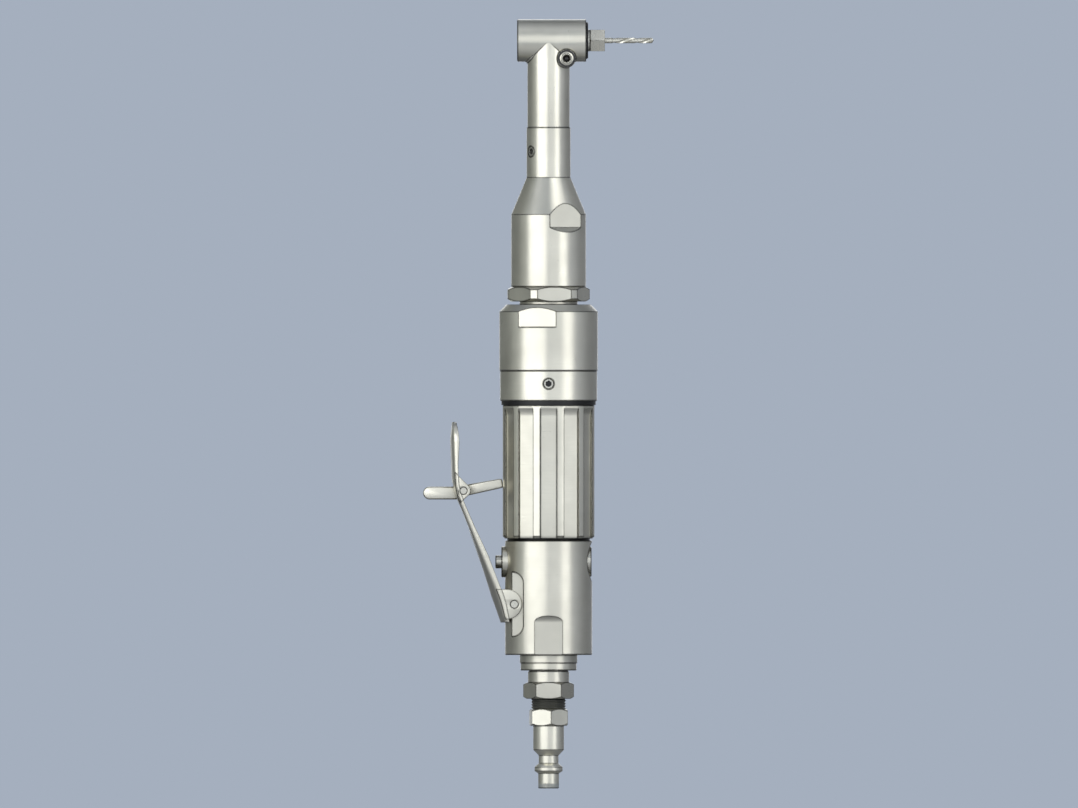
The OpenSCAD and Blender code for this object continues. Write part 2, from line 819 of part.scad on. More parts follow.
module valve_cap()
{
    color("gray")
        difference() {
            along_x(cap_x, valve_z)
                turned([[0, 0], [chamber_r, 0], [chamber_r, 1], [chamber_r - 0.9, 1],
                    [chamber_r - 0.9, 2.4], [chamber_r, 2.4],
                    [chamber_r, cap_face - cap_x - edge_break],
                    [chamber_r - edge_break, cap_face - cap_x], [0, cap_face - cap_x]]);
            along_x(cap_face - 3.5, valve_z)
                cylinder(r = cap_socket_af / sqrt(3), h = far, $fn = 6);
        }
}

module valve_cap_seal()
{
    wire = 0.45;
    color("dimgray")
        along_x(cap_x + 1.7, valve_z)
            rotate_extrude()
                translate([chamber_r - 0.9 + wire, 0])
                    circle(r = wire, $fn = 24);
}

module lever_pivot_pin()
{
    color("gray")
        translate([-pivot_x, 0, pivot_z])
            rotate([90, 0, 0])
                cylinder(r = pivot_r, h = 2 * lever_half + 0.4, center = true);
}

// Smooth step from 0 to 1
function ease(t) = let (u = min(1, max(0, t))) u * u * (3 - 2 * u);

// Lean of the lever at height z, and the place of its edge line
function lever_lean(z) =
    let (h = z - pivot_z)
    heel_lean + (main_lean - heel_lean) * ease(h / heel_bend + 0.17)
        + (tip_lean - main_lean) * ease((h - latch_rise + tip_bend_drop) / tip_bend);
function lever_edge(z) =
    let (n = 40, dz = (z - lever_low) / n)
    heel_x - dz * sum([for (i = [0:n - 1]) tan(lever_lean(lever_low + dz * (i + 0.5)))]);
function sum(values, i = 0) = i < len(values) ? values[i] + sum(values, i + 1) : 0;

// Crown of the back, depth of the side flanges and half width, by share of the lever's length
function lever_share(h) = (h + lever_heel) / lever_len;
function lever_crown(h) = lever_half * lookup(lever_share(h), [[0, 0.187], [0.12, 0.271],
    [0.262, 0.168], [0.478, 0.056], [0.565, 0.042], [0.714, 0.112], [0.913, 0.117], [1, 0.028]]);
function lever_flange(h) = sheet_t * lookup(lever_share(h), [[0, 1.31], [0.166, 1.85],
    [0.34, 2.15], [0.478, 1.69], [0.615, 1.54], [0.69, 1.23], [0.789, 1.31], [0.902, 1.92],
    [0.951, 1.69], [1, 1.15]]);
function lever_width(z) =
    let (u = max(0, z - lever_high + tip_corner))
    lever_half - tip_corner + sqrt(tip_corner * tip_corner - u * u * 0.98);

// One level section of the lever: a shallow channel, open towards the tool
function lever_section(z) =
    let (h = z - pivot_z, w = lever_width(z), x = lever_edge(z), b = lever_crown(h),
        t = sheet_t / cos(lever_lean(z)), f = t + max(0.1, lever_flange(h) - t), v = w - sheet_t)
    concat(
        [[x + f, -w, z]],
        [for (k = [-5:5]) [x - b * (1 - pow(k / 5, 2)), w * k / 5, z]],
        [[x + f, w, z], [x + f, v, z]],
        [for (k = [5:-1:-5]) [x + t - b * (1 - pow(v * k / 5 / w, 2)), v * k / 5, z]],
        [[x + f, -v, z]]);

module lever_channel()
{
    bend = lever_low + 0.474 * lever_len;
    tip = lever_high - tip_corner;
    heights = concat([for (k = [0:6]) lever_low + 0.025 * lever_len * k],
        [for (k = [0:4]) lever_low + (0.175 + 0.0625 * k) * lever_len],
        [for (k = [0:11]) bend + (tip - bend) * k / 12],
        [for (k = [0:6]) tip + tip_corner * sin(15 * k)]);
    rings = [for (z = heights) lever_section(z)];
    count = len(rings[0]);
    points = [for (ring = rings) each ring];
    walls = [for (i = [0:len(rings) - 2], k = [0:count - 1])
        let (a = i * count + k, b = i * count + (k + 1) % count)
        each [[a, b, a + count], [b, b + count, a + count]]];
    last = (len(rings) - 1) * count;
    low = [for (k = [0:count / 2 - 2])
        each [[k, count - 2 - k, k + 1], [k, count - 1 - k, count - 2 - k]]];
    high = [for (k = [0:count / 2 - 2])
        each [[last + k, last + k + 1, last + count - 2 - k],
            [last + k, last + count - 2 - k, last + count - 1 - k]]];
    polyhedron(points, concat(walls, low, high));
}

// Both side plates of the lever, cut from the same outline
module side_plates()
{
    for (side = [-1, 1])
        translate([0, side * (lever_half - sheet_t / 2), 0])
            rotate([90, 0, 0])
                linear_extrude(height = sheet_t, center = true)
                    children();
}

module throttle_lever()
{
    ear_low = pivot_z - ear_r;
    ear_high = pivot_z + ear_r;
    pad_x = -stem_reach - 2.4;
    slot_low = latch_z - foot_len + 0.2;
    slot_high = latch_z + lug_r + 0.2;
    color("silver")
        difference() {
            union() {
                lever_channel();
                side_plates() {
                    translate([ear_x, pivot_z])
                        circle(r = ear_r);
                    polygon([[lever_edge(ear_high) + 0.4, ear_high], [ear_x, ear_high],
                        [ear_x, ear_low], [lever_edge(ear_low) + 0.4, ear_low]]);
                    translate([latch_x, latch_z])
                        circle(r = lug_r);
                    polygon([[lever_edge(latch_z + 7.4) + 1.3, latch_z + 7.4],
                        [latch_x + lug_r * cos(42), latch_z + lug_r * sin(42)],
                        [latch_x + lug_r * cos(33), latch_z - lug_r * sin(33)],
                        [lever_edge(latch_z - 4.9) + 2, latch_z - 4.9],
                        [lever_edge(latch_z - 4.9) + 0.4, latch_z - 4.9],
                        [lever_edge(latch_z) + 0.4, latch_z]]);
                }
                translate([0, 0, valve_z])
                    rotate([0, 90, 0])
                        translate([0, 0, lever_edge(valve_z) + 0.2])
                            cylinder(r = 2.4, h = pad_x - lever_edge(valve_z) - 0.2);
            }
            translate([-pivot_x, 0, pivot_z])
                rotate([90, 0, 0])
                    cylinder(r = pivot_r + run_gap, h = far, center = true);
            translate([latch_x, 0, latch_z])
                rotate([90, 0, 0])
                    cylinder(r = latch_pin_r, h = far, center = true);
            translate([latch_x - 12, -thumb_w / 2 - 0.4, slot_low])
                cube([17, thumb_w + 0.8, slot_high - slot_low]);
        }
}

module latch_pin()
{
    color("gray")
        translate([latch_x, 0, latch_z])
            rotate([90, 0, 0])
                cylinder(r = latch_pin_r, h = 2 * lever_half + 0.4, center = true);
}

// An arm of the latch: its outline lies in the plane of the photograph, its edges are bevelled
module latch_arm(w, bevel)
{
    hull()
        for (inset = [0, bevel])
            rotate([90, 0, 0])
                linear_extrude(height = w - 2 * bevel + 2 * inset, center = true)
                    offset(delta = -inset)
                        children();
}

module safety_latch()
{
    hub_r = lug_r - 0.1;
    foot_r = foot_t / 2;
    color("silver")
        translate([latch_x, 0, latch_z])
            difference() {
                union() {
                    latch_arm(thumb_w, 0.7)
                        hull() {
                            translate([-thumb_len + thumb_t / 2, -0.9])
                                circle(r = thumb_t / 2, $fn = 32);
                            translate([-1, -0.9])
                                square([0.1, thumb_t], center = true);
                        }
                    latch_arm(foot_w, 0.6)
                        rotate(foot_rise)
                            hull() {
                                translate([foot_len - foot_r, 0])
                                    circle(r = foot_r, $fn = 32);
                                translate([0.5, 0])
                                    square([0.1, foot_t + 0.6], center = true);
                            }
                    rotate([90, 0, 0])
                        cylinder(r = hub_r, h = thumb_w, center = true);
                }
                rotate([90, 0, 0])
                    cylinder(r = latch_pin_r + run_gap, h = far, center = true);
            }
}

module latch_spring()
{
    wire = 0.3;
    y0 = thumb_w / 2 + 0.1 + wire + 0.2;
    room = lever_half - sheet_t - y0 - wire - 0.2;
    color("gray")
        for (side = [-1, 1])
            translate([latch_x, side * y0, latch_z])
                rotate([-90 * side, 0, 0])
                    coil(latch_turns, latch_pin_r + wire + 0.05, room, wire);
}

module grip_sleeve()
{
    depth = sleeve_r - flute_floor;
    flat_end = sleeve_len - flute_top - flute_runout;
    c = sleeve_chamfer;
    color("gainsboro")
        difference() {
            turned([[motor_r + seat_gap, sleeve_z], [sleeve_r - c, sleeve_z],
                [sleeve_r, sleeve_z + c], [sleeve_r, sleeve_top - edge_break],
                [sleeve_r - edge_break, sleeve_top], [motor_r + seat_gap, sleeve_top]]);
            translate([0, 0, sleeve_z - 1])
                cylinder(r = housing_spigot_r + seat_gap, h = housing_spigot_len + 1);
            translate([0, 0, clamp_spigot_z])
                cylinder(r = clamp_spigot_r + seat_gap, h = far);
            for (i = [0:flutes - 1])
                rotate([0, 0, 360 * i / flutes])
                    flute_cut(depth, flat_end);
        }
}

// One flute: flat floor, square walls, and an end left by a round cutter
module flute_cut(depth, flat_end)
{
    cutter = (flute_runout * flute_runout + depth * depth) / (2 * depth);
    translate([0, 0, sleeve_z]) {
        translate([flute_floor, -flute_w / 2, -1])
            cube([depth + 1, flute_w, flat_end + 1]);
        translate([flute_floor + cutter, 0, flat_end])
            rotate([90, 0, 0])
                cylinder(r = cutter, h = flute_w, center = true);
    }
}

module sleeve_ring()
{
    r_in = clamp_spigot_r + seat_gap;
    color("dimgray")
        turned([[r_in, sleeve_top], [ring_r, sleeve_top], [ring_r, clamp_z], [r_in, clamp_z]]);
}

module clamp_ring()
{
    color("gainsboro")
        difference() {
            turned([[motor_r + seat_gap, clamp_spigot_z], [clamp_spigot_r, clamp_spigot_z],
                [clamp_spigot_r, clamp_z], [clamp_r - edge_break, clamp_z],
                [clamp_r, clamp_z + edge_break], [clamp_r, case_z],
                [case_spigot_r + seat_gap, case_z], [case_spigot_r + seat_gap, front_plate_top],
                [motor_r + seat_gap, front_plate_top]]);
            translate([0, 0, clamp_z + clamp_len * 0.575])
                rotate([90, 0, 0])
                    cylinder(r = set_screw_r + seat_gap, h = far);
        }
}

module clamp_ring_screw()
{
    color("gray")
        translate([0, -case_spigot_r - seat_gap, clamp_z + clamp_len * 0.575])
            rotate([90, 0, 0])
                set_screw(set_screw_r, clamp_r - case_spigot_r - 0.15, 2);
}

module motor_gasket()
{
    color("dimgray")
        translate([0, 0, motor_z])
            difference() {
                cylinder(r = motor_r, h = gasket_t);
                translate([0, 0, -1])
                    cylinder(r = 7, h = gasket_t + 2);
            }
}

module rear_end_plate()
{
    color("darkgray")
        difference() {
            translate([0, 0, rear_plate_z])
                cylinder(r = motor_r, h = rear_plate_t);
            translate([0, 0, rear_plate_z - 1])
                cylinder(r = rear_bearing_r + seat_gap, h = rear_plate_t);
            translate([0, 0, rear_plate_z])
                cylinder(r = rotor_rear_r + 0.4, h = far);
            for (a = [0, 30, 60])
                rotate([0, 0, a - 120])
                    translate([10, 0, rear_plate_z - 1])
                        cylinder(r = 1.2, h = far);
        }
}

module rotor_rear_bearing()
{
    color("silver")
        translate([0, 0, rear_plate_z])
            bearing(rotor_rear_r + run_gap, rear_bearing_r, rear_plate_t - 1);
}

module motor_cylinder()
{
    color("darkgray")
        difference() {
            translate([0, 0, cylinder_z])
                cylinder(r = motor_r, h = cylinder_top - cylinder_z);
            translate([0, motor_offset, cylinder_z - 1])
                cylinder(r = motor_bore_r, h = cylinder_top - cylinder_z + 2);
            for (k = [1:5])
                translate([8, 0, cylinder_z + (cylinder_top - cylinder_z) * k / 6 - 0.8])
                    rotate([0, 0, 35])
                        cube([far, 3, 1.6]);
        }
}

// Vane slots round the rotor, or the vanes that fill them
module vane_set(w, r_low, r_high, z0, z1)
{
    for (i = [0:vanes - 1])
        rotate([0, 0, 360 * i / vanes + 90])
            translate([r_low, -w / 2, z0])
                cube([r_high - r_low, w, z1 - z0]);
}

module rotor()
{
    z0 = cylinder_z + end_gap;
    z1 = cylinder_top - end_gap;
    color("silver")
        difference() {
            turned([[0, rear_plate_z + 0.5], [rotor_rear_r, rear_plate_z + 0.5],
                [rotor_rear_r, z0], [rotor_r, z0], [rotor_r, z1], [rotor_front_r, z1],
                [rotor_front_r, front_plate_top + 0.5], [3.2, front_plate_top + 1.3],
                [3.2, gear_z - end_gap], [sun_shaft_r, gear_z - end_gap],
                [sun_shaft_r, gear_z + gear_w],
                [0, gear_z + gear_w]]);
            vane_set(vane_t, rotor_r - vane_depth, rotor_r + 1, z0 - 1, z1 + 1);
        }
}

module rotor_vanes()
{
    color("saddlebrown")
        vane_set(vane_t - 2 * seat_gap, rotor_r - vane_depth + seat_gap, rotor_r - 0.05,
            cylinder_z + end_gap, cylinder_top - end_gap);
}

module front_end_plate()
{
    color("darkgray")
        difference() {
            translate([0, 0, cylinder_top])
                cylinder(r = motor_r, h = front_plate_t);
            translate([0, 0, cylinder_top - 1])
                cylinder(r = rotor_front_r + 0.5, h = far);
            translate([0, 0, cylinder_top + 1])
                cylinder(r = front_bearing_r + seat_gap, h = far);
        }
}

module rotor_front_bearing()
{
    color("silver")
        translate([0, 0, cylinder_top + 1])
            bearing(rotor_front_r + run_gap, front_bearing_r, front_plate_t - 1);
}

module sun_gear()
{
    color("silver")
        translate([0, 0, gear_z])
            linear_extrude(height = gear_w)
                difference() {
                    polygon(spur_points(sun_teeth, sun_pitch_r - tooth_ded,
                        sun_pitch_r + tooth_add, tooth_slack));
                    circle(r = sun_shaft_r + seat_gap);
                }
}

// Place of a planet, counted from 1
function planet_angle(i) = 90 + 360 * (i - 1) / planets;

module planet_gear(i)
{
    color("silver")
        rotate([0, 0, planet_angle(i)])
            translate([planet_orbit, 0, gear_z])
                rotate([0, 0, 180 / planet_teeth - planet_angle(i)])
                    linear_extrude(height = gear_w)
                        difference() {
                            polygon(spur_points(planet_teeth, planet_pitch_r - tooth_ded,
                                planet_pitch_r + tooth_add, tooth_slack));
                            circle(r = planet_pin_r + run_gap);
                        }
}

module planet_gear_1()
{
    planet_gear(1);
}

module planet_gear_2()
{
    planet_gear(2);
}

module planet_gear_3()
{
    planet_gear(3);
}

module planet_pins()
{
    color("gray")
        for (i = [1:planets])
            rotate([0, 0, planet_angle(i)])
                translate([planet_orbit, 0, gear_z - 0.4])
                    cylinder(r = planet_pin_r, h = carrier_z + carrier_t - gear_z + 0.4);
}

module planet_carrier()
{
    z1 = carrier_z + carrier_t;
    color("silver")
        difference() {
            turned([[0, carrier_z], [planet_orbit + 3.4, carrier_z], [planet_orbit + 3.4, z1],
                [carrier_shaft_r + 1.2, z1], [carrier_shaft_r + 1.2, carrier_bearing_z - end_gap],
                [carrier_shaft_r, carrier_bearing_z - end_gap],
                [carrier_shaft_r, carrier_shaft_top], [0, carrier_shaft_top]]);
            for (i = [1:planets])
                rotate([0, 0, planet_angle(i)])
                    translate([planet_orbit, 0, carrier_z - 1])
                        cylinder(r = planet_pin_r, h = carrier_t + 2);
            translate([0, 0, carrier_shaft_top - 8])
                cylinder(r = hex_seat_af / sqrt(3) + seat_gap, h = far, $fn = 6);
        }
}

module ring_gear()
{
    r_tip = ring_pitch_r - tooth_add;
    z1 = gear_z - 1.2;
    z2 = gear_z + gear_w + end_gap;
    color("darkgray")
        difference() {
            translate([0, 0, front_plate_top])
                cylinder(r = ring_r_out, h = ring_top - front_plate_top);
            translate([0, 0, front_plate_top - 1])
                cylinder(r = r_tip, h = far);
            translate([0, 0, front_plate_top - 1])
                cylinder(r = ring_r_out - 1.6, h = z1 - front_plate_top + 1);
            translate([0, 0, z1 - 0.5])
                rotate([0, 0, 180 / ring_teeth])
                    linear_extrude(height = z2 - z1 + 0.5)
                        polygon(spur_points(ring_teeth, r_tip - 0.2,
                            ring_pitch_r + tooth_ded, -tooth_slack));
        }
}

module carrier_bearing()
{
    color("silver")
        translate([0, 0, carrier_bearing_z])
            bearing(carrier_shaft_r + run_gap, carrier_bearing_r, carrier_bearing_t);
}

module gear_case()
{
    z_bearing = carrier_bearing_z + carrier_bearing_t;
    color("gainsboro")
        difference() {
            turned([[ring_r_out + seat_gap, front_plate_top], [case_spigot_r, front_plate_top],
                [case_spigot_r, case_z], [case_r - edge_break, case_z],
                [case_r, case_z + edge_break], [case_r, case_shoulder],
                [case_r - case_chamfer, case_top], [case_neck_r, case_top],
                [case_neck_r, nut_z], [nose_r, nut_z], [nose_r, nose_top],
                [carrier_shaft_r + 1.2, nose_top], [carrier_shaft_r + 1.2, z_bearing],
                [carrier_bearing_r + seat_gap, z_bearing],
                [carrier_bearing_r + seat_gap, ring_top], [ring_r_out + seat_gap, ring_top]]);
            for (turn = [case_flat_turn, case_flat_turn + 180])
                rotate([0, 0, turn - 90])
                    translate([case_flat, -far / 2, case_shoulder - case_flat_len])
                        cube([far, far, case_flat_len + case_chamfer + 0.01]);
        }
}

module jam_nut()
{
    c = nut_corner_r - nut_af / 2;
    color("silver")
        translate([0, 0, nut_z])
            rotate([0, 0, nut_turn - 90])
                difference() {
                    intersection() {
                        rotate([0, 0, 30])
                            cylinder(r = nut_af / sqrt(3), h = nut_len, $fn = 6);
                        turned([[0, 0], [nut_corner_r - c, 0], [nut_corner_r, c * 0.7],
                            [nut_corner_r, nut_len - c * 0.7], [nut_corner_r - c, nut_len],
                            [0, nut_len]]);
                    }
                    translate([0, 0, -1])
                        cylinder(r = nose_r + seat_gap, h = nut_len + 2);
                }
}

module angle_adapter()
{
    depth = adapter_flat_depth;
    adapter_flat = adapter_r - depth;
    color("gainsboro")
        difference() {
            turned([[drive_r + 2, adapter_z], [adapter_r - edge_break, adapter_z],
                [adapter_r, adapter_z + edge_break], [adapter_r, adapter_cone_z],
                [adapter_tube_r, adapter_tube_z], [adapter_tube_r, head_z],
                [head_spigot_r + seat_gap, head_z], [head_spigot_r + seat_gap, head_spigot_z],
                [drive_r + 2, head_spigot_z]]);
            translate([0, 0, adapter_z - 1])
                cylinder(r = nose_r + seat_gap, h = nose_seat + 2);
            for (turn = [adapter_flat_turn, adapter_flat_turn + 180])
                rotate([0, 0, turn - 90])
                    translate([adapter_flat, 0, adapter_cone_z - adapter_flat_len])
                        rotate([90, 0, 0])
                            linear_extrude(height = far, center = true)
                                polygon([[0, 0], [depth + 1, -depth - 1], [depth + 1, 20],
                                    [0, 20]]);
            translate([0, 0, head_z - 9.6])
                rotate([0, 90, -145])
                    cylinder(r = set_screw_r, h = far);
        }
}

module adapter_screw()
{
    color("dimgray")
        translate([0, 0, head_z - 9.6])
            rotate([0, 90, -145])
                translate([0, 0, head_spigot_r + seat_gap])
                    set_screw(set_screw_r - seat_gap, 0.9, 2);
}

module drive_shaft()
{
    hex_z = carrier_shaft_top - 8;
    color("silver")
        union() {
            translate([0, 0, hex_z + 0.2])
                cylinder(r = hex_seat_af / sqrt(3), h = 9, $fn = 6);
            translate([0, 0, hex_z + 9])
                cylinder(r = drive_r, h = bevel_heel - hex_z - 9);
        }
}

module drive_shaft_rear_bearing()
{
    color("silver")
        translate([0, 0, head_spigot_z + 3])
            bearing(drive_r + run_gap, neck_bore_r - seat_gap, 5);
}

module drive_shaft_front_bearing()
{
    color("silver")
        translate([0, 0, bevel_heel - 10.2])
            bearing(drive_r + run_gap, neck_bore_r - seat_gap, 5);
}

module angle_head()
{
    color("gainsboro")
        difference() {
            union() {
                translate([0, 0, head_z])
                    cylinder(r = neck_r, h = head_rise);
                translate([0, 0, head_spigot_z])
                    cylinder(r = head_spigot_r, h = head_z - head_spigot_z);
                along_x(-head_rear, head_axis)
                    turned([[0, 0], [head_r - edge_break, 0], [head_r, edge_break],
                        [head_r, head_rear + head_front], [0, head_rear + head_front]]);
                translate([boss_x, 0, head_axis - boss_drop])
                    rotate([90, 0, 0])
                        cylinder(r = boss_r, h = boss_reach);
            }
            translate([0, 0, head_spigot_z - 1])
                cylinder(r = neck_bore_r, h = head_axis - head_spigot_z + 1);
            along_x(barrel_end, head_axis)
                cylinder(r = head_bore_r, h = far);
            translate([boss_x, 0, head_axis - boss_drop])
                rotate([90, 0, 0]) {
                    cylinder(r = 0.8, h = boss_reach);
                    translate([0, 0, boss_reach - 1.9])
                        cylinder(r = 1.9 + seat_gap, h = far);
                }
        }
}

module grease_fitting()
{
    color("silver")
        translate([boss_x, 0, head_axis - boss_drop])
            rotate([90, 0, 0])
                difference() {
                    turned([[0, boss_reach - 1.9], [1.9, boss_reach - 1.9], [1.9, boss_reach],
                        [2.5, boss_reach], [2.5, boss_reach + 0.3], [2.1, boss_reach + 0.7],
                        [0, boss_reach + 0.7]]);
                    translate([0, 0, boss_reach - 1])
                        cylinder(r = 1.1, h = 9);
                }
}

module bevel_pinion()
{
    color("silver")
        union() {
            translate([0, 0, bevel_heel])
                bevel_teeth_body();
            translate([0, 0, bevel_heel - 5])
                difference() {
                    cylinder(r = gear_hub_r, h = 5);
                    translate([0, 0, -1])
                        cylinder(r = drive_r + seat_gap, h = 6);
                }
        }
}

module bevel_gear()
{
    color("silver")
        along_x(gear_hub_x, head_axis)
            difference() {
                union() {
                    cylinder(r = gear_hub_r, h = -bevel_r - gear_hub_x);
                    translate([0, 0, -bevel_r - gear_hub_x])
                        rotate([0, 0, 180 / bevel_teeth])
                            bevel_teeth_body();
                }
                translate([0, 0, -1])
                    cylinder(r = spindle_rear_r + seat_gap, h = far);
            }
}

module spindle()
{
    shoulder = front_bearing_x - end_gap;
    color("silver")
        difference() {
            along_x(0, head_axis)
                turned([[0, rear_bearing_x + 0.3], [spindle_rear_r, rear_bearing_x + 0.3],
                    [spindle_rear_r, shoulder - 1.7], [spindle_r + 0.8, shoulder - 1.7],
                    [spindle_r + 0.8, shoulder], [spindle_r, shoulder],
                    [spindle_r, spindle_tip - edge_break],
                    [spindle_r - edge_break, spindle_tip], [0, spindle_tip]]);
            along_x(spindle_tip - bit_thread_len - 1, head_axis)
                cylinder(r = bit_thread_r + seat_gap, h = far);
        }
}

module spindle_rear_bearing()
{
    color("silver")
        along_x(rear_bearing_x, head_axis)
            bearing(spindle_rear_r + run_gap, head_bore_r - seat_gap, rear_bearing_t);
}

module spindle_front_bearing()
{
    color("silver")
        along_x(front_bearing_x, head_axis)
            bearing(spindle_r + run_gap, head_bore_r - seat_gap, front_bearing_t);
}

module spindle_retainer()
{
    c = 0.4;
    x0 = front_bearing_x + front_bearing_t;
    x1 = head_front + retainer_len;
    color("dimgray")
        along_x(0, head_axis)
            turned([[spindle_r + 0.2, x0], [head_bore_r - seat_gap, x0],
                [head_bore_r - seat_gap, head_front], [retainer_r, head_front],
                [retainer_r, x1 - c], [retainer_r - c, x1], [spindle_r + 0.2, x1]]);
}

module drill_bit()
{
    flute_len = bit_len - bit_plain;
    slope = bit_r / tan(59);
    color("gold")
        along_x(bit_x, head_axis)
            union() {
                translate([0, 0, -bit_thread_len])
                    cylinder(r = bit_thread_r, h = bit_thread_len + join);
                hex_bar(bit_hex_af, bit_hex_len, 1, 1);
                translate([0, 0, bit_hex_len - join])
                    cylinder(r = bit_r, h = bit_plain + join);
                translate([0, 0, bit_hex_len + bit_plain])
                    intersection() {
                        linear_extrude(height = flute_len, twist = 360 * bit_turns,
                            slices = ceil(34 * bit_turns), $fn = 16)
                            fluted_section();
                        turned([[0, 0], [bit_r + 0.1, 0], [bit_r + 0.1, flute_len - slope],
                            [0, flute_len]]);
                    }
            }
}

// Cross section of the twist drill: a round with two flutes
module fluted_section()
{
    difference() {
        circle(r = bit_r, $fn = 18);
        for (side = [-1, 1])
            translate([side * bit_r * 0.95, bit_r * 0.25 * side])
                circle(r = bit_r * 0.62, $fn = 14);
    }
}

air_plug();
inlet_screen();
inlet_bushing();
exhaust_deflector();
muffler();
throttle_housing();
valve_bushing();
throttle_valve();
valve_face_seal();
valve_seat();
throttle_spring();
valve_cap();
valve_cap_seal();
lever_pivot_pin();
throttle_lever();
latch_pin();
safety_latch();
latch_spring();
grip_sleeve();
sleeve_ring();
clamp_ring();
clamp_ring_screw();
motor_gasket();
rear_end_plate();
rotor_rear_bearing();
motor_cylinder();
rotor();
rotor_vanes();
front_end_plate();
rotor_front_bearing();
sun_gear();
planet_gear_1();
planet_gear_2();
planet_gear_3();
planet_pins();
planet_carrier();
ring_gear();
carrier_bearing();
gear_case();
jam_nut();
angle_adapter();
adapter_screw();
drive_shaft();
drive_shaft_rear_bearing();
drive_shaft_front_bearing();
angle_head();
grease_fitting();
bevel_pinion();
bevel_gear();
spindle();
spindle_rear_bearing();
spindle_front_bearing();
spindle_retainer();
drill_bit();
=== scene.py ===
"""Right-angle air drill with a lever throttle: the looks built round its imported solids.

The tool stands upright in metres: +Z runs up to the angle head, +X out along the drill
bit, and the photograph looks along +Y. Sizes are in millimetres, the room's in metres.
"""
import logging
from dataclasses import dataclass
from enum import Enum
from functools import cache
from math import asin, atan2, cos, pi, radians, sin, sqrt, tan, tau
from typing import Optional, Sequence, Union

import bmesh
import bpy
import numpy as np
from mathutils import Matrix, Vector

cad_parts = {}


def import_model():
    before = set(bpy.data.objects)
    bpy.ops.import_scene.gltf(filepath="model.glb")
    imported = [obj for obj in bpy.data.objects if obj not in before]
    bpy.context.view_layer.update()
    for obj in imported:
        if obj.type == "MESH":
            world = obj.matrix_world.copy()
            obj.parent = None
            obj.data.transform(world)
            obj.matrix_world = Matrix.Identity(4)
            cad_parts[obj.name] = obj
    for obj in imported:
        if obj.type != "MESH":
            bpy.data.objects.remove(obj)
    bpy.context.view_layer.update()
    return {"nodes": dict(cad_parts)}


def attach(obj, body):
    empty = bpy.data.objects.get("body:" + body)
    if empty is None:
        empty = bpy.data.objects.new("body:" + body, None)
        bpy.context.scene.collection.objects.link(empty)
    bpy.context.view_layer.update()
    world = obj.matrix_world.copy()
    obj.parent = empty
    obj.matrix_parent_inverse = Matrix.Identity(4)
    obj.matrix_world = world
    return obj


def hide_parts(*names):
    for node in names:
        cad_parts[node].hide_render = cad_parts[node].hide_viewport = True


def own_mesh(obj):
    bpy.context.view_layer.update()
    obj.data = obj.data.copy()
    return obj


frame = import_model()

LOG = logging.getLogger("air_drill")
MM = 0.001

# Points nearer than this are one, and edges shorter than that go, in metres.
SAME_PLACE = 2e-6
NO_LENGTH = 1e-7

# Sizes that several pieces share: heights of the head's axis and of the valve, the latch's
# pin, half the lever's width, its sheet, and the latch's foot.
HEAD_Z = 299.2
VALVE_Z = 90.7
LATCH_PIN = (-34.004, 119.1)
LEVER_HALF = 10.7
SHEET = 1.3
FOOT_LEN = 15.7

Pair = tuple[float, float]
Point = tuple[float, float, float]
Colour = tuple[float, float, float]
Ring = list[Point]
Face = tuple[int, ...]
Mesh = bpy.types.Mesh
Piece = bpy.types.Object
Socket = bpy.types.NodeSocket
Number = Union["Value", float]


class Axis(Enum):
    """Direction of a piece's axis: X along the drill bit, Y out of the front, Z up."""

    X = 0
    Y = 1
    Z = 2


class Grain(Enum):
    """Pattern of the last process: its scale across and along the axis, and its layers."""

    TURNED = (0.02, 1.0, 3.0)
    DRAWN = (1.0, 0.03, 2.0)
    PLAIN = (0.35, 0.35, 4.0)
    FELT = (0.6, 0.6, 4.0)


# Shader maths


@dataclass(frozen=True)
class Value:
    """A socket of a shader, which adds a Math node for each operation on it."""

    shader: "Shader"
    socket: Socket

    def _math(self, operation: str, a: Number, b: Number) -> "Value":
        """The result of a Math node on two operands."""
        return self.shader.add("ShaderNodeMath", {"operation": operation}, {0: a, 1: b})

    def __add__(self, other: Number) -> "Value":
        """Sum."""
        return self._math("ADD", self, other)

    def __sub__(self, other: Number) -> "Value":
        """Difference."""
        return self._math("SUBTRACT", self, other)

    def __rsub__(self, other: float) -> "Value":
        """Difference from a number."""
        return self._math("SUBTRACT", other, self)

    def __mul__(self, other: Number) -> "Value":
        """Product."""
        return self._math("MULTIPLY", self, other)

    __radd__ = __add__
    __rmul__ = __mul__

    def ramp(self, low: float, high: float) -> "Value":
        """Runs smoothly from 0 at low to 1 at high, and stays there outside them."""
        inputs = {0: self, 1: low, 2: high, 3: 0.0, 4: 1.0}
        return self.shader.add("ShaderNodeMapRange", {"interpolation_type": "SMOOTHSTEP"}, inputs)


class Nodes:
    """A node tree and the one method that adds to it."""

    tree: bpy.types.NodeTree

    def node(self, kind: str, settings: dict, inputs: dict) -> bpy.types.Node:
        """Adds any node.

        Args:
            kind: The node's type.
            settings: Properties, set before the sockets.
            inputs: Values or links, by socket name or index.

        Returns:
            The node.
        """
        node = self.tree.nodes.new(kind)
        for key, value in settings.items():
            setattr(node, key, value)
        for key, value in inputs.items():
            if isinstance(value, Value):
                value = value.socket
            if isinstance(value, Socket):
                self.tree.links.new(value, node.inputs[key])
            else:
                node.inputs[key].default_value = value
        return node


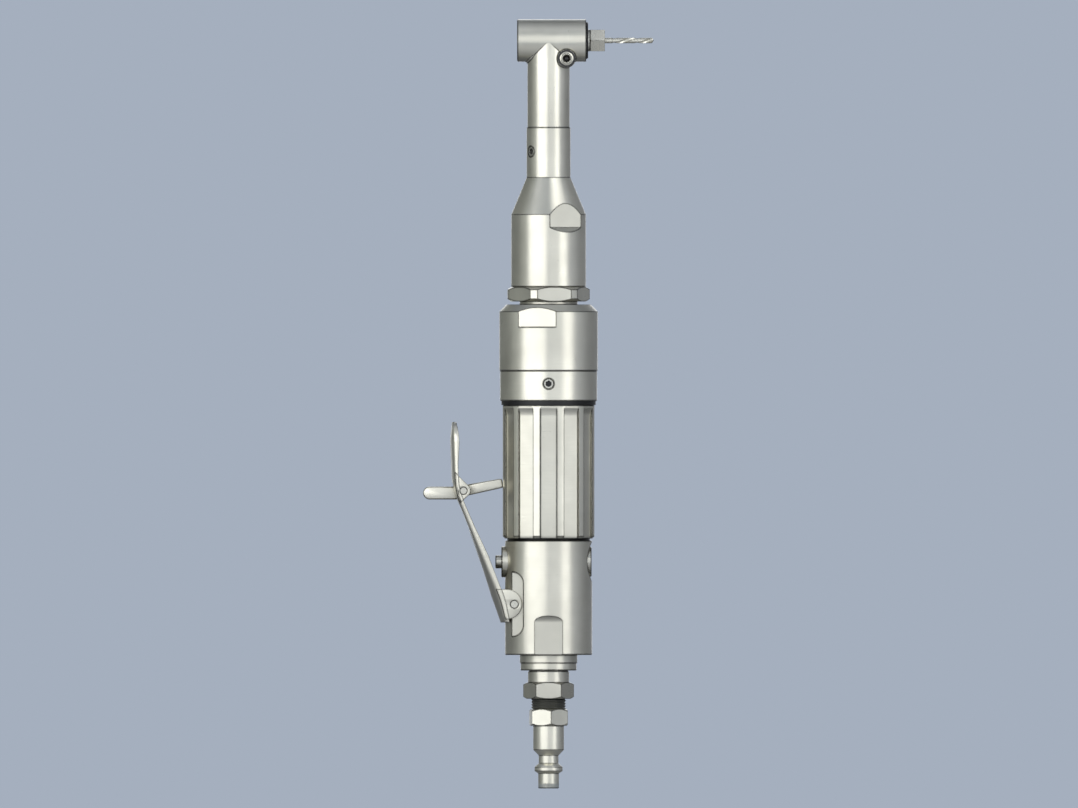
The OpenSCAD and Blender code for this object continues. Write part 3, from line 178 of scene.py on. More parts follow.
class Shader(Nodes):
    """A node material that is built by expressions."""

    def __init__(self, name: str) -> None:
        """Makes an empty node material of that name."""
        self.material = bpy.data.materials.new(name)
        self.material.use_nodes = True
        self.tree = self.material.node_tree
        self.tree.nodes.clear()

    def add(self, kind: str, settings: dict, inputs: dict, output: Union[int, str] = 0) -> Value:
        """Adds any node and wraps one of its outputs."""
        return Value(self, self.node(kind, settings, inputs).outputs[output])

    def end(self, surface: Value) -> None:
        """Ends the material with that surface."""
        self.node("ShaderNodeOutputMaterial", {}, {"Surface": surface})

    def mix(self, factor: Number, a: Colour | Value, b: Colour | Value) -> Value:
        """Mixes two colours: a factor of 0 gives a, and 1 gives b."""
        pair = [(*c, 1.0) if isinstance(c, tuple) else c for c in (a, b)]
        return self.add("ShaderNodeMix", {"data_type": "RGBA", "clamp_factor": True},
                        {0: factor, 6: pair[0], 7: pair[1]}, 2)

    def place(self) -> Value:
        """Object coordinates, in metres."""
        return self.add("ShaderNodeTexCoord", {}, {}, "Object")

    def noise(self, where: Value, scale: float, detail: float) -> Value:
        """Noise of about 0.3 to 0.7, with scale waves in a unit and detail finer layers."""
        inputs = {"Vector": where, "Scale": scale, "Detail": detail, "Roughness": 0.55}
        return self.add("ShaderNodeTexNoise", {"noise_dimensions": "3D"}, inputs, "Fac")

    def stretch(self, where: Value, scale: Point) -> Value:
        """Coordinates scaled along each axis."""
        return self.add("ShaderNodeMapping", {"vector_type": "POINT"}, {0: where, 3: scale})

    def edge(self, radius: float) -> Value:
        """Mask that is 1 along a sharp edge and 0 away from it.

        Args:
            radius: Reach on each side of the edge, in metres.

        Returns:
            The mask.
        """
        soft = self.add("ShaderNodeBevel", {"samples": 6}, {"Radius": radius})
        true = self.add("ShaderNodeNewGeometry", {}, {}, "Normal")
        same = self.add("ShaderNodeVectorMath", {"operation": "DOT_PRODUCT"}, {0: soft, 1: true}, 1)
        return (1.0 - same).ramp(*EDGE_BENDS)


# Finishes

# From none to full: bend of the normals at an edge, cloudiness, and marks.
EDGE_BENDS = (0.001, 0.012)
CLOUD_SPAN = (0.32, 0.7)
MARK_SPAN = (0.35, 0.65)

# Swing of the roughness with the marks and with the fine cloudiness.
MARK_SWING = 0.10
RUB_SWING = 0.12

# Waves of the broad and the fine cloudiness in a metre, shares of the base colour in dull
# patches and in grooves, strength of the grooves' tone, and fade of a dark joint in metres.
CLOUD_WAVES = 42.0
RUB_WAVES = 190.0
DULL = 0.9
GROOVE = 0.94
GROOVE_TONE = 0.35
JOINT_FADE = 2e-5


@dataclass(frozen=True)
class Finish:
    """Looks of one kind of surface.

    Attributes:
        name: Name of the material.
        colour: Base colour, linear.
        metallic: Share of metal.
        roughness: Mean roughness.
        grain: Pattern of the last process.
        axis: Axis that turned marks run round.
        depth: Height of the marks, in micrometres.
        pitch: Spacing of the marks, in millimetres.
        edge_shade_and_joint: Colour of the painted shade along edges, a dark line, and of the dark
            band at a joint.
        line: Strength of that painted shade line.
        reach: Reach of that line from the edge, in millimetres.
        seam: Lower and upper height of a band painted in that dark colour, in millimetres.
    """

    name: str
    colour: Colour
    metallic: float = 0.9
    roughness: float = 0.31
    grain: Grain = Grain.TURNED
    axis: Axis = Axis.Z
    depth: float = 2.0
    pitch: float = 0.22
    edge_shade_and_joint: Colour = (0.008, 0.008, 0.007)
    line: float = 0.97
    reach: float = 0.5
    seam: Pair = (0.0, 0.0)

    def _marks(self, shader: Shader, where: Value) -> Value:
        """Draws the pattern of the last process.

        Args:
            shader: The shader that gets it.
            where: Coordinates.

        Returns:
            Its height, about 0 to 1.
        """
        across, along, layers = self.grain.value
        near = 1.0 / (self.pitch * MM)
        if across == along:
            return shader.noise(where, near * across, layers)
        scale = [near * across] * 3
        scale[self.axis.value] = near * along
        return shader.noise(shader.stretch(where, tuple(scale)), 1.0, layers)

    def build(self) -> bpy.types.Material:
        """Makes the material.

        Returns:
            The node material, with varying colour, roughness and normal.
        """
        shader = Shader(self.name)
        where = shader.place()
        marks = self._marks(shader, where)
        cloud = shader.noise(where, CLOUD_WAVES, 3.0)
        rub = shader.noise(where, RUB_WAVES, 4.0)
        worn = tuple(min(1.0, c * 1.07 + 0.01) for c in self.colour)
        dull, tone = (tuple(c * share for c in self.colour) for share in (DULL, GROOVE))
        colour = shader.mix(cloud.ramp(*CLOUD_SPAN), dull, worn)
        colour = shader.mix(GROOVE_TONE * marks.ramp(*MARK_SPAN), colour, tone)
        # Painted shade: a dark line along every sharp edge, from the bevel mask.
        if self.line > 0:
            colour = shader.mix(self.line * shader.edge(self.reach * MM), colour, self.edge_shade_and_joint)
        # A band between the seam's heights is painted in the same dark colour.
        if self.seam[1] > self.seam[0]:
            height = shader.add("ShaderNodeSeparateXYZ", {}, {0: where}, 2)
            low, high = (z * MM for z in self.seam)
            above = height.ramp(high, high + JOINT_FADE)
            inside = height.ramp(low - JOINT_FADE, low) * (1.0 - above)
            colour = shader.mix(inside, colour, self.edge_shade_and_joint)
        rough = self.roughness + (MARK_SWING * (marks - 0.5) + RUB_SWING * (rub - 0.5))
        bump = {"Strength": 0.6, "Distance": self.depth * 1e-6, "Height": marks}
        normal = shader.add("ShaderNodeBump", {}, bump)
        shader.end(shader.add("ShaderNodeBsdfPrincipled", {}, {
            "Base Color": colour, "Metallic": self.metallic, "Roughness": rough,
            "Normal": normal}))
        return shader.material


WARM_GREY: Colour = (0.60, 0.58, 0.495)
FINISHES: dict[str, Finish] = {
    "body_metal": Finish("satin_body", WARM_GREY, reach=0.7),
    "housing_metal": Finish("satin_housing", WARM_GREY, reach=0.7, seam=(99.05, 100.1)),
    "head_metal": Finish("satin_head", WARM_GREY, axis=Axis.X, reach=0.7),
    "plug_steel": Finish("turned_plug", WARM_GREY, roughness=0.3),
    # Painted light: the plug's copy of the warm grey metal, its colour painted lighter for light it
    # gets less of.
    "bright_plug": Finish("turned_plug_painted_lighter", (0.70, 0.68, 0.58), roughness=0.3),
    "threaded_steel": Finish("threaded_steel", (0.20, 0.20, 0.18), roughness=0.36, line=0.0),
    "pin_steel": Finish("ground_pin", (0.56, 0.545, 0.475), roughness=0.28, axis=Axis.Y),
    "lever_steel": Finish("pressed_lever", WARM_GREY, roughness=0.33, grain=Grain.DRAWN,
                          reach=0.4),
    "dark_ring": Finish("black_oxide", (0.012, 0.012, 0.012), metallic=0.6, roughness=0.4,
                        axis=Axis.X, line=0.0),
    "dark_screw": Finish("black_screw", (0.02, 0.02, 0.02), metallic=0.6, roughness=0.38,
                         axis=Axis.Y, line=0.0),
    "rubber": Finish("seal_rubber", (0.012, 0.012, 0.012), metallic=0.0, roughness=0.6,
                     grain=Grain.PLAIN, line=0.0),
    "felt": Finish("pressed_felt", (0.11, 0.11, 0.10), metallic=0.0, roughness=0.9,
                   grain=Grain.FELT, depth=90.0, pitch=0.5, line=0.0),
    "brass_part": Finish("turned_brass", (0.52, 0.33, 0.08), roughness=0.32, axis=Axis.X),
    "spring_steel": Finish("drawn_wire", (0.30, 0.30, 0.30), roughness=0.3, line=0.0),
    "inner_iron": Finish("ground_iron", (0.16, 0.16, 0.16), roughness=0.45),
    "bearing_steel": Finish("bearing_chrome", (0.62, 0.62, 0.62), roughness=0.16),
    "gear_steel": Finish("hardened_gear", (0.26, 0.26, 0.27), roughness=0.3),
    "vane": Finish("laminated_vane", (0.10, 0.04, 0.015), metallic=0.0, roughness=0.6,
                   grain=Grain.DRAWN, line=0.0),
    "bit_steel": Finish("ground_bit", WARM_GREY, roughness=0.27, axis=Axis.X, reach=0.14),
}
HEAD_NODES = ("angle_head", "spindle", "spindle_retainer", "grease_fitting")


@cache
def material(finish: str) -> bpy.types.Material:
    """The material of a finish, made when it is first wanted and shared by the pieces."""
    return FINISHES[finish].build()


# Mesh making


def world(axis: Axis, origin: Point, a: float, b: float, h: float) -> Point:
    """A point in the tool's axes, which is a and b across a piece's axis and h along it."""
    x, y, z = {Axis.Z: (a, b, h), Axis.X: (h, b, -a), Axis.Y: (a, -h, b)}[axis]
    return origin[0] + x, origin[1] + y, origin[2] + z


def polar(radius: float, angle: float) -> Pair:
    """A point by its distance from the middle and its direction in radians."""
    return radius * cos(angle), radius * sin(angle)


def ring(radii: Sequence[float], height: float, axis: Axis = Axis.Z, origin: Point = (0, 0, 0),
         turn: float = 0.0) -> Ring:
    """Points spread evenly round an axis, each at its own radius, turned by so many radians."""
    return [world(axis, origin, *polar(r, tau * k / len(radii) + turn), height)
            for k, r in enumerate(radii)]


def bar(inner: float, outer: float, low: float, high: float) -> list[Pair]:
    """Profile of a plain tube, or of a rod when the inner radius is 0."""
    return [(inner, low), (outer, low), (outer, high), (inner, high)]


def arc(centre: Pair, radius: float, start: float, end: float, steps: int) -> list[Pair]:
    """Points on an arc, with angles in degrees."""
    spread = [radians(start + (end - start) * k / steps) for k in range(steps + 1)]
    return [(centre[0] + x, centre[1] + y) for x, y in (polar(radius, t) for t in spread)]


def hole(centre: Pair, radius: float) -> list[Pair]:
    """Outline of a round hole, with 36 points."""
    return arc(centre, radius, 0, 350, 35)


def ease(t: float) -> float:
    """Smooth step from 0 to 1."""
    u = min(1.0, max(0.0, t))
    return u * u * (3 - 2 * u)


class Shape:
    """Closed shells that become one mesh."""

    def __init__(self) -> None:
        """Starts empty."""
        self.points: list[Point] = []
        self.faces: list[Face] = []

    def loft(self, rings: Sequence[Ring], wrap: bool = False, around: bool = True) -> "Shape":
        """Skins a row of rings that have the same number of points.

        Args:
            rings: The rings.
            wrap: Joins the last ring to the first; otherwise both ends get a cap.
            around: Joins each ring's last point to its first.

        Returns:
            The shape itself.
        """
        start, count = len(self.points), len(rings[0])
        for row in rings:
            self.points.extend(row)
        rows = len(rings) if wrap else len(rings) - 1
        for i in range(rows):
            a, b = start + i * count, start + (i + 1) % len(rings) * count
            for k in range(count if around else count - 1):
                n = (k + 1) % count
                self.faces.append((a + k, a + n, b + n, b + k))
        if not wrap:
            last = start + (len(rings) - 1) * count
            self.faces.append(tuple(range(start + count - 1, start - 1, -1)))
            self.faces.append(tuple(range(last, last + count)))
        return self

    def turn(self, profile: Sequence[Pair], axis: Axis = Axis.Z, origin: Point = (0, 0, 0),
             steps: int = 96, closed: bool = False) -> "Shape":
        """Turns a profile of (radius, height) pairs; closed joins its ends, for a ring."""
        return self.loft([ring([r] * steps, h, axis, origin) for r, h in profile], wrap=closed)

    def mesh(self, name: str) -> Mesh:
        """The shells as a mesh in metres."""
        mesh = bpy.data.meshes.new(name)
        mesh.from_pydata([tuple(c * MM for c in p) for p in self.points], [], self.faces)
        return mesh

    def build(self, name: str, paint: str, crease: float = 32.0, bevel: float = 0.0) -> Piece:
        """Makes a piece of the shells, dressed with that paint, crease and bevel."""
        return dress(self.mesh(name), name, paint, crease, bevel)


def dress(mesh: Mesh, name: str, paint: str, crease: float = 32.0, bevel: float = 0.0) -> Piece:
    """Cleans a mesh, rounds its edges and makes it a piece.

    Args:
        mesh: The mesh, in metres.
        name: Name of the piece.
        paint: Name of its finish.
        crease: Least angle of an edge that stays sharp, in degrees.
        bevel: Width of a rounding on sharp edges, in millimetres.

    Returns:
        The piece.
    """
    work = bmesh.new()
    work.from_mesh(mesh)
    bmesh.ops.remove_doubles(work, verts=work.verts, dist=SAME_PLACE)
    bmesh.ops.dissolve_degenerate(work, edges=work.edges, dist=NO_LENGTH)
    bmesh.ops.recalc_face_normals(work, faces=work.faces)
    work.to_mesh(mesh)
    work.free()
    piece = shown(name, mesh)
    if bevel > 0:
        rounding = piece.modifiers.new("rounding", "BEVEL")
        rounding.width = bevel * MM
        rounding.segments = 2
        rounding.limit_method = "ANGLE"
        rounding.angle_limit = radians(crease)
        bake(piece)
    piece.data.shade_smooth()
    piece.data.set_sharp_from_angle(angle=radians(crease))
    piece.data.materials.clear()
    piece.data.materials.append(material(paint))
    return piece


def shown(name: str, data: bpy.types.ID) -> Piece:
    """Makes an object of a mesh, curve, lamp or camera and puts it in the scene."""
    made = bpy.data.objects.new(name, data)
    bpy.context.scene.collection.objects.link(made)
    return made


def evaluated(piece: Piece) -> Mesh:
    """A plain mesh of what a piece's modifiers or curve make."""
    bpy.context.view_layer.update()
    graph = bpy.context.evaluated_depsgraph_get()
    return bpy.data.meshes.new_from_object(piece.evaluated_get(graph))


def bake(piece: Piece) -> None:
    """Turns a piece's modifiers into a plain mesh."""
    solid = evaluated(piece)
    piece.modifiers.clear()
    piece.data = solid
    solid.name = piece.name


def mesh_of(piece: Piece) -> Mesh:
    """Takes the mesh out of a piece, which ends there."""
    mesh = piece.data
    bpy.data.objects.remove(piece)
    return mesh


def plate(name: str, outline: Sequence[Pair], middle: float, thick: float, edge: float,
          holes: Sequence[Sequence[Pair]] = ()) -> Mesh:
    """A flat plate in the plane of the photograph, with rounded edges.

    Args:
        name: Name of the curve and mesh.
        outline: Outline in the tool's X and Z.
        middle: Middle of the plate along Y.
        thick: Thickness.
        edge: Radius of the rounded edges.
        holes: Outlines of holes.

    Returns:
        The mesh, in metres.
    """
    curve = bpy.data.curves.new(name, "CURVE")
    curve.dimensions = "2D"
    curve.fill_mode = "BOTH"
    curve.extrude = (thick / 2 - edge) * MM
    curve.bevel_depth = edge * MM
    curve.bevel_resolution = 2
    curve.offset = -edge * MM
    for loop in (outline, *holes):
        spline = curve.splines.new("POLY")
        spline.points.add(len(loop) - 1)
        for point, (x, z) in zip(spline.points, loop):
            point.co = (x * MM, z * MM, 0, 1)
        spline.use_cyclic_u = True
    holder = shown(name, curve)
    mesh = evaluated(holder)
    mesh.transform(Matrix.Translation((0, middle * MM, 0)) @ Matrix.Rotation(pi / 2, 4, "X"))
    bpy.data.objects.remove(holder)
    return mesh


def joined(meshes: Sequence[Mesh], name: str) -> Mesh:
    """One mesh of several."""
    work = bmesh.new()
    for mesh in meshes:
        work.from_mesh(mesh)
    out = bpy.data.meshes.new(name)
    work.to_mesh(out)
    work.free()
    return out


# Geometry nodes


class Tree(Nodes):
    """A geometry node tree with named inputs."""

    def __init__(self, name: str, sizes: dict[str, float]) -> None:
        """Makes the tree with a geometry input and one number input for each size."""
        self.tree = bpy.data.node_groups.new(name, "GeometryNodeTree")
        face = self.tree.interface
        face.new_socket("Geometry", in_out="INPUT", socket_type="NodeSocketGeometry")
        for key, value in sizes.items():
            kind = "NodeSocketInt" if isinstance(value, int) else "NodeSocketFloat"
            face.new_socket(key, in_out="INPUT", socket_type=kind).default_value = value
        face.new_socket("Geometry", in_out="OUTPUT", socket_type="NodeSocketGeometry")
        self.source = self.tree.nodes.new("NodeGroupInput")
        self.sizes = sizes

    def __getitem__(self, key: str) -> Socket:
        """The tree's input of that name."""
        return self.source.outputs[key]

    def add(self, kind: str, inputs: dict, settings: Optional[dict] = None) -> Socket:
        """Adds any node and gives its first output."""
        return self.node(kind, settings or {}, inputs).outputs[0]

    def apply(self, piece: Piece, result: Socket, paint: str) -> None:
        """Ends the tree, runs it on a piece and keeps its result as the piece's mesh.

        Args:
            piece: The piece that carries the tree.
            result: The geometry that the tree makes.
            paint: Name of the finish.
        """
        real = self.add("GeometryNodeRealizeInstances", {0: result})
        done = self.add("GeometryNodeSetMaterial", {0: real, "Material": material(paint)})
        self.node("NodeGroupOutput", {}, {0: done})
        modifier = piece.modifiers.new(self.tree.name, "NODES")
        modifier.node_group = self.tree
        for item in self.tree.interface.items_tree:
            if item.in_out == "INPUT" and item.name in self.sizes:
                modifier[item.identifier] = self.sizes[item.name]
        bake(piece)


def ring_repeat(sector: Piece, count: int, paint: str) -> None:
    """Repeats a sector round the tool's axis and welds the copies together.

    Args:
        sector: The piece, which holds one sector.
        count: Number of sectors in a full turn.
        paint: Name of the finish.
    """
    tree = Tree("ring_repeat", {"Count": count, "Weld": 4e-6})
    places = tree.add("GeometryNodePoints", {"Count": tree["Count"]})
    index = tree.add("GeometryNodeInputIndex", {})
    part = tree.add("ShaderNodeMath", {0: index, 1: tree["Count"]}, {"operation": "DIVIDE"})
    angle = tree.add("ShaderNodeMath", {0: part, 1: tau}, {"operation": "MULTIPLY"})
    euler = tree.add("ShaderNodeCombineXYZ", {"Z": angle})
    turn = tree.add("FunctionNodeEulerToRotation", {0: euler})
    copies = tree.add("GeometryNodeInstanceOnPoints", {
        "Points": places, "Instance": tree.source.outputs[0], "Rotation": turn})
    whole = tree.add("GeometryNodeRealizeInstances", {0: copies})
    weld = tree.add("GeometryNodeMergeByDistance", {0: whole, "Distance": tree["Weld"]})
    tree.apply(sector, weld, paint)


def helix(name: str, paint: str, radius: float, wire: float, turns: float, height: float,
          sides: int, around: int) -> Piece:
    """A wire or thread ridge along a helix that stands on the origin.

    Args:
        name: Name of the piece.
        paint: Name of its finish.
        radius: Radius of the helix.
        wire: Radius of its section.
        turns: Number of turns.
        height: Height of the helix.
        sides: Corners of its section.
        around: Points in a turn.

    Returns:
        The piece, with its axis along Z.
    """
    piece = shown(name, bpy.data.meshes.new(name))
    tree = Tree("helix", {"Radius": radius * MM, "Wire": wire * MM, "Turns": turns,
                          "Height": height * MM, "Around": around, "Sides": sides})
    line = tree.add("GeometryNodeCurveSpiral", {
        "Resolution": tree["Around"], "Rotations": tree["Turns"],
        "Start Radius": tree["Radius"], "End Radius": tree["Radius"],
        "Height": tree["Height"]})
    held = tree.add("GeometryNodeSetCurveNormal", {0: line}, {"mode": "Z_UP"})
    section = tree.add("GeometryNodeCurvePrimitiveCircle", {
        "Resolution": tree["Sides"], "Radius": tree["Wire"]}, {"mode": "RADIUS"})
    swept = tree.add("GeometryNodeCurveToMesh", {
        "Curve": held, "Profile Curve": section, "Fill Caps": True})
    tree.apply(piece, swept, paint)
    return piece


# Sub-assemblies


def settle(piece: Piece, body: str, slot: str, *nodes: str) -> None:
    """Puts a piece on its body, and hides the CAD nodes that it stands for.

    Args:
        piece: The finished piece.
        body: The body that it rides on.
        slot: The record's material slot; not used.
        nodes: CAD nodes that it replaces.
    """
    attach(piece, body)
    if nodes:
        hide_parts(*nodes)
    LOG.info("%s: %d faces on %s", piece.name, len(piece.data.polygons), body)


def hex_rings(across: float, low: float, high: float, turn: float, chamfer: Pair,
              axis: Axis = Axis.Z, origin: Point = (0, 0, 0)) -> list[Ring]:
    """Rings of a hexagonal bar whose corners are turned down to a cone at each end.

    Args:
        across: Width across flats.
        low: Height of the lower end.
        high: Height of the upper end.
        turn: Direction of a flat, in degrees.
        chamfer: Share of the full corner chamfer at the lower and upper end.
        axis: Direction of the bar.
        origin: A point on its axis.

    Returns:
        The rings, from the lower end to the upper.
    """
    flat, corner = across / 2, across / sqrt(3)
    drop, slope = corner - flat, 0.6
    steps, points = 8, 60
    ends = ((low, slope, chamfer[0], range(steps + 1)),
            (high, -slope, chamfer[1], range(steps, -1, -1)))
    levels = [(z + rise * drop * (k / steps) * share, corner - drop * (1 - k / steps) * share)
              for z, rise, share, order in ends for k in order]
    sides = [(tau * k / points + pi / 6) % (pi / 3) - pi / 6 for k in range(points)]
    return [ring([min(flat / cos(side), limit) for side in sides], height, axis, origin,
                 radians(turn)) for height, limit in levels]


@dataclass
class AirPlug:
    """Quick-connect plug at the tool's lower end, with its thread."""

    profile: tuple[Pair, ...] = (
        (2.6, 0.35), (2.95, 0.0), (3.84, 0.0), (4.14, 0.3), (4.14, 6.04), (5.45, 6.9),
        (5.6, 7.05), (5.6, 8.5), (5.5, 8.72), (3.96, 10.1), (3.96, 13.2), (6.0, 15.36),
        (6.15, 15.55), (6.15, 25.3), (2.6, 25.3))
    hexagon: float = 14.5
    hex_low: float = 25.1
    hex_high: float = 31.7
    hex_turn: float = 7.0
    thread_high: float = 46.0
    thread_r: float = 7.0
    thread_depth: float = 0.62
    pitch: float = 1.05
    bore: float = 2.6
    overlap: float = 0.4
    margin: float = 0.3

    def build(self) -> None:
        """Builds the plug as one piece with a rolled thread above its hexagon."""
        shape = Shape().turn(self.profile, closed=True, steps=112)
        shape.loft(hex_rings(self.hexagon, self.hex_low, self.hex_high, self.hex_turn, (1, 1)))
        shape.turn(bar(self.bore, self.thread_r - self.thread_depth, self.hex_high - self.overlap,
                       self.thread_high), closed=True)
        # Painted light: the body takes the copy of the metal whose colour is painted lighter.
        body = shape.build("air_plug_body", "bright_plug", crease=24)
        settle(body, "housing_body", "plug_steel", "air_plug")
        wire = self.pitch / 2
        turns = (self.thread_high - self.hex_high - 2 * self.margin) / self.pitch
        thread = helix("air_plug_thread", "threaded_steel", self.thread_r - wire, wire, turns,
                       turns * self.pitch, sides=4, around=72)
        thread.data.transform(Matrix.Translation((0, 0, (self.hex_high + self.margin) * MM)))
        thread.data.shade_flat()
        settle(thread, "housing_body", "plug_steel")


@dataclass
class GripSleeve:
    """Fluted sleeve round the motor, made of one sector for each flute."""

    low: float = 100.0
    high: float = 153.4
    radius: float = 18.65
    floor: float = 17.6
    flute: float = 6.5
    flutes: int = 12
    top: float = 0.8
    runout: float = 3.7
    chamfer: float = 0.9
    edge: float = 0.3
    round_off: float = 0.22
    margin: float = 0.3
    inner: tuple[Pair, ...] = (
        (16.63, 153.4), (16.63, 151.9), (15.53, 151.9), (15.53, 106.05), (16.63, 106.05))

    def _row(self, radius: float, floor: float) -> list[Pair]:
        """Half of a sector's outline at one height, from the flute's middle to the rib's.

        Args:
            radius: Radius of the rib.
            floor: Distance of the flute's floor from the axis.

        Returns:
            The points, with the flute's middle on the first axis.
        """
        half = self.flute / 2
        wall = sqrt(radius ** 2 - half ** 2)
        floor = min(floor, wall)
        soft = min(self.round_off, wall - floor)
        across = [half * k / 6 for k in range(7)]
        points = [(min(floor, sqrt(radius ** 2 - y ** 2)), y) for y in across]
        cut = 0.3 * soft
        points += [(wall - soft, half), (wall - cut, half + cut)]
        start = asin((half + soft) / radius)
        last = pi / self.flutes
        return points + [polar(radius, start + (last - start) * k / 3) for k in range(4)]

    def build(self) -> None:
        """Builds one sector and repeats it round the axis."""
        depth = self.radius - self.floor
        foot = self.low + self.chamfer
        end = self.high - self.top - self.runout
        cutter = (self.runout ** 2 + depth ** 2) / (2 * depth)
        levels = [(self.low, self.radius - self.chamfer), (foot, self.radius),
                  (foot + self.margin, self.radius), (end - self.margin, self.radius)]
        levels += [(end + self.runout * k / 12, self.radius) for k in range(13)]
        levels += [(self.high - self.edge, self.radius), (self.high, self.radius - self.edge)]
        rows = []
        for z, radius in levels:
            rise = cutter - sqrt(max(0.0, cutter ** 2 - max(0.0, z - end) ** 2))
            half = self._row(radius, self.floor + (rise if z < self.high - self.top else depth))
            rows.append([(x, -y, z) for x, y in reversed(half[1:])] + [(x, y, z) for x, y in half])
        angles = [atan2(y, x) for x, y, _ in rows[0]]
        rows += [[(*polar(radius, t), z) for t in angles]
                 for radius, z in (*self.inner, (self.inner[-1][0], self.low))]
        shape = Shape().loft(rows, wrap=True, around=False)
        sector = shape.build("grip_sleeve_ribs", "body_metal", crease=30)
        ring_repeat(sector, self.flutes, "body_metal")
        whole = dress(mesh_of(sector), "grip_sleeve_body", "body_metal", crease=30)
        settle(whole, "housing_body", "body_metal", "grip_sleeve")


@dataclass
class SocketScrew:
    """Set screw with a hexagonal socket."""

    node: str
    radius: float
    face: float
    foot: float
    origin: Point
    swing: float
    across: float = 2.0
    soft: float = 0.25
    lip: float = 0.08
    socket: float = 0.6
    least: float = 0.1
    # Lower and upper height, from the socket's floor, of a dark disc painted there as shade.
    socket_shade: Pair = (-0.1, 0.2)
    corners: int = 48

    def build(self) -> None:
        """Builds the screw along its own axis, then turns it into its place."""
        inner = self.across / sqrt(3)
        deep = max(self.foot + self.least, self.face - self.socket * self.across)
        rows = ((0.0, self.foot, False), (self.radius, self.foot, False),
                (self.radius, self.face - self.soft, False),
                (self.radius - self.soft, self.face, False),
                (inner + self.lip, self.face, True), (inner, self.face - self.lip, True),
                (inner, deep, True), (0.0, deep, False))
        sides = [tau * k / self.corners % (pi / 3) - pi / 6 for k in range(self.corners)]
        shape = Shape().loft([
            ring([r * cos(pi / 6) / cos(side) if hexagon else r for side in sides], z)
            for r, z, hexagon in rows])
        shape.faces = [f for f in shape.faces if len(f) == 4]
        screw = shape.build(f"{self.node}_body", "pin_steel", crease=28)
        # Painted shade: a dark disc on the socket's floor, in the black screw finish.
        floor = [ring([1.02 * inner] * 6, deep + z) for z in self.socket_shade]
        socket_shade = Shape().loft(floor).build(f"{self.node}_body_socket_shade", "dark_screw")
        turned = (Matrix.Rotation(radians(self.swing), 4, "Z")
                  @ Matrix.Rotation(pi / 2, 4, "Y"))
        for piece in (screw, socket_shade):
            piece.data.transform(Matrix.Translation(Vector(self.origin) * MM) @ turned)
        settle(screw, "housing_body", "dark_screw", self.node)
        settle(socket_shade, "housing_body", "dark_screw")


@dataclass
class NeckFillet:
    """Fillet in the inner corner between the neck and the head, away from the drill."""

    radius: float = 8.45
    height: float = HEAD_Z
    leg: float = 0.9
    least: float = 0.02
    spread: float = 62.0
    fade: float = 25.0
    tuck: float = 0.3
    draw_in: float = 0.98
    steps: int = 40

    def build(self) -> None:
        """Sweeps a three-cornered section along the line where the two barrels meet."""
        rings: list[Ring] = []
        for k in range(self.steps + 1):
            turn = self.spread * (2 * k / self.steps - 1)
            leg = max(self.least, self.leg * ease((self.spread - abs(turn)) / self.fade))
            x, y = polar(-self.radius, radians(turn))
            z = self.height + x
            inside = (x + self.tuck, y * self.draw_in, z + self.tuck)
            rings.append([inside, (x - leg, y, z), (x, y, z - leg)])
        fillet = Shape().loft(rings).build("angle_head_fillet", "plug_steel", crease=40)
        settle(fillet, "housing_body", "body_metal")


@dataclass
class GreaseFitting:
    """Flush grease fitting in the boss at the side of the head."""

    origin: Point = (7.2, 0.0, 292.0)
    face: float = 8.3
    ball_r: float = 1.33
    ball_depth: float = 1.5
    shell: tuple[Pair, ...] = (
        (1.35, 0.45), (1.6, 0.72), (2.1, 0.72), (2.8, 0.34), (2.8, -0.05), (1.88, -0.05),
        (1.88, -1.8), (1.35, -1.8))
    seal: tuple[Pair, ...] = (
        (2.82, -0.03), (3.42, -0.03), (3.5, 0.1), (3.4, 0.2), (2.92, 0.2), (2.82, 0.1))

    def _turned(self, profile: Sequence[Pair]) -> Shape:
        """A turned ring, with its profile's heights counted from the boss's face."""
        return Shape().turn([(r, self.face + h) for r, h in profile], Axis.Y, self.origin,
                            steps=64, closed=True)

    def build(self) -> None:
        """Builds the fitting, its check ball and the seal round it."""
        body = self._turned(self.shell).build("grease_fitting_body", "plug_steel", crease=28)
        settle(body, "housing_body", "plug_steel", "grease_fitting")
        middle = self.face - self.ball_depth
        ball = Shape().turn([(self.ball_r * sin(t), middle - self.ball_r * cos(t))
                             for t in (pi * k / 10 for k in range(11))],
                            Axis.Y, self.origin, steps=40)
        ball.faces = [face for face in ball.faces if len(face) == 4]
        settle(ball.build("grease_fitting_ball", "dark_screw"), "housing_body", "dark_screw")
        seal = self._turned(self.seal).build("grease_fitting_seal", "rubber", crease=40)
        settle(seal, "housing_body", "rubber")


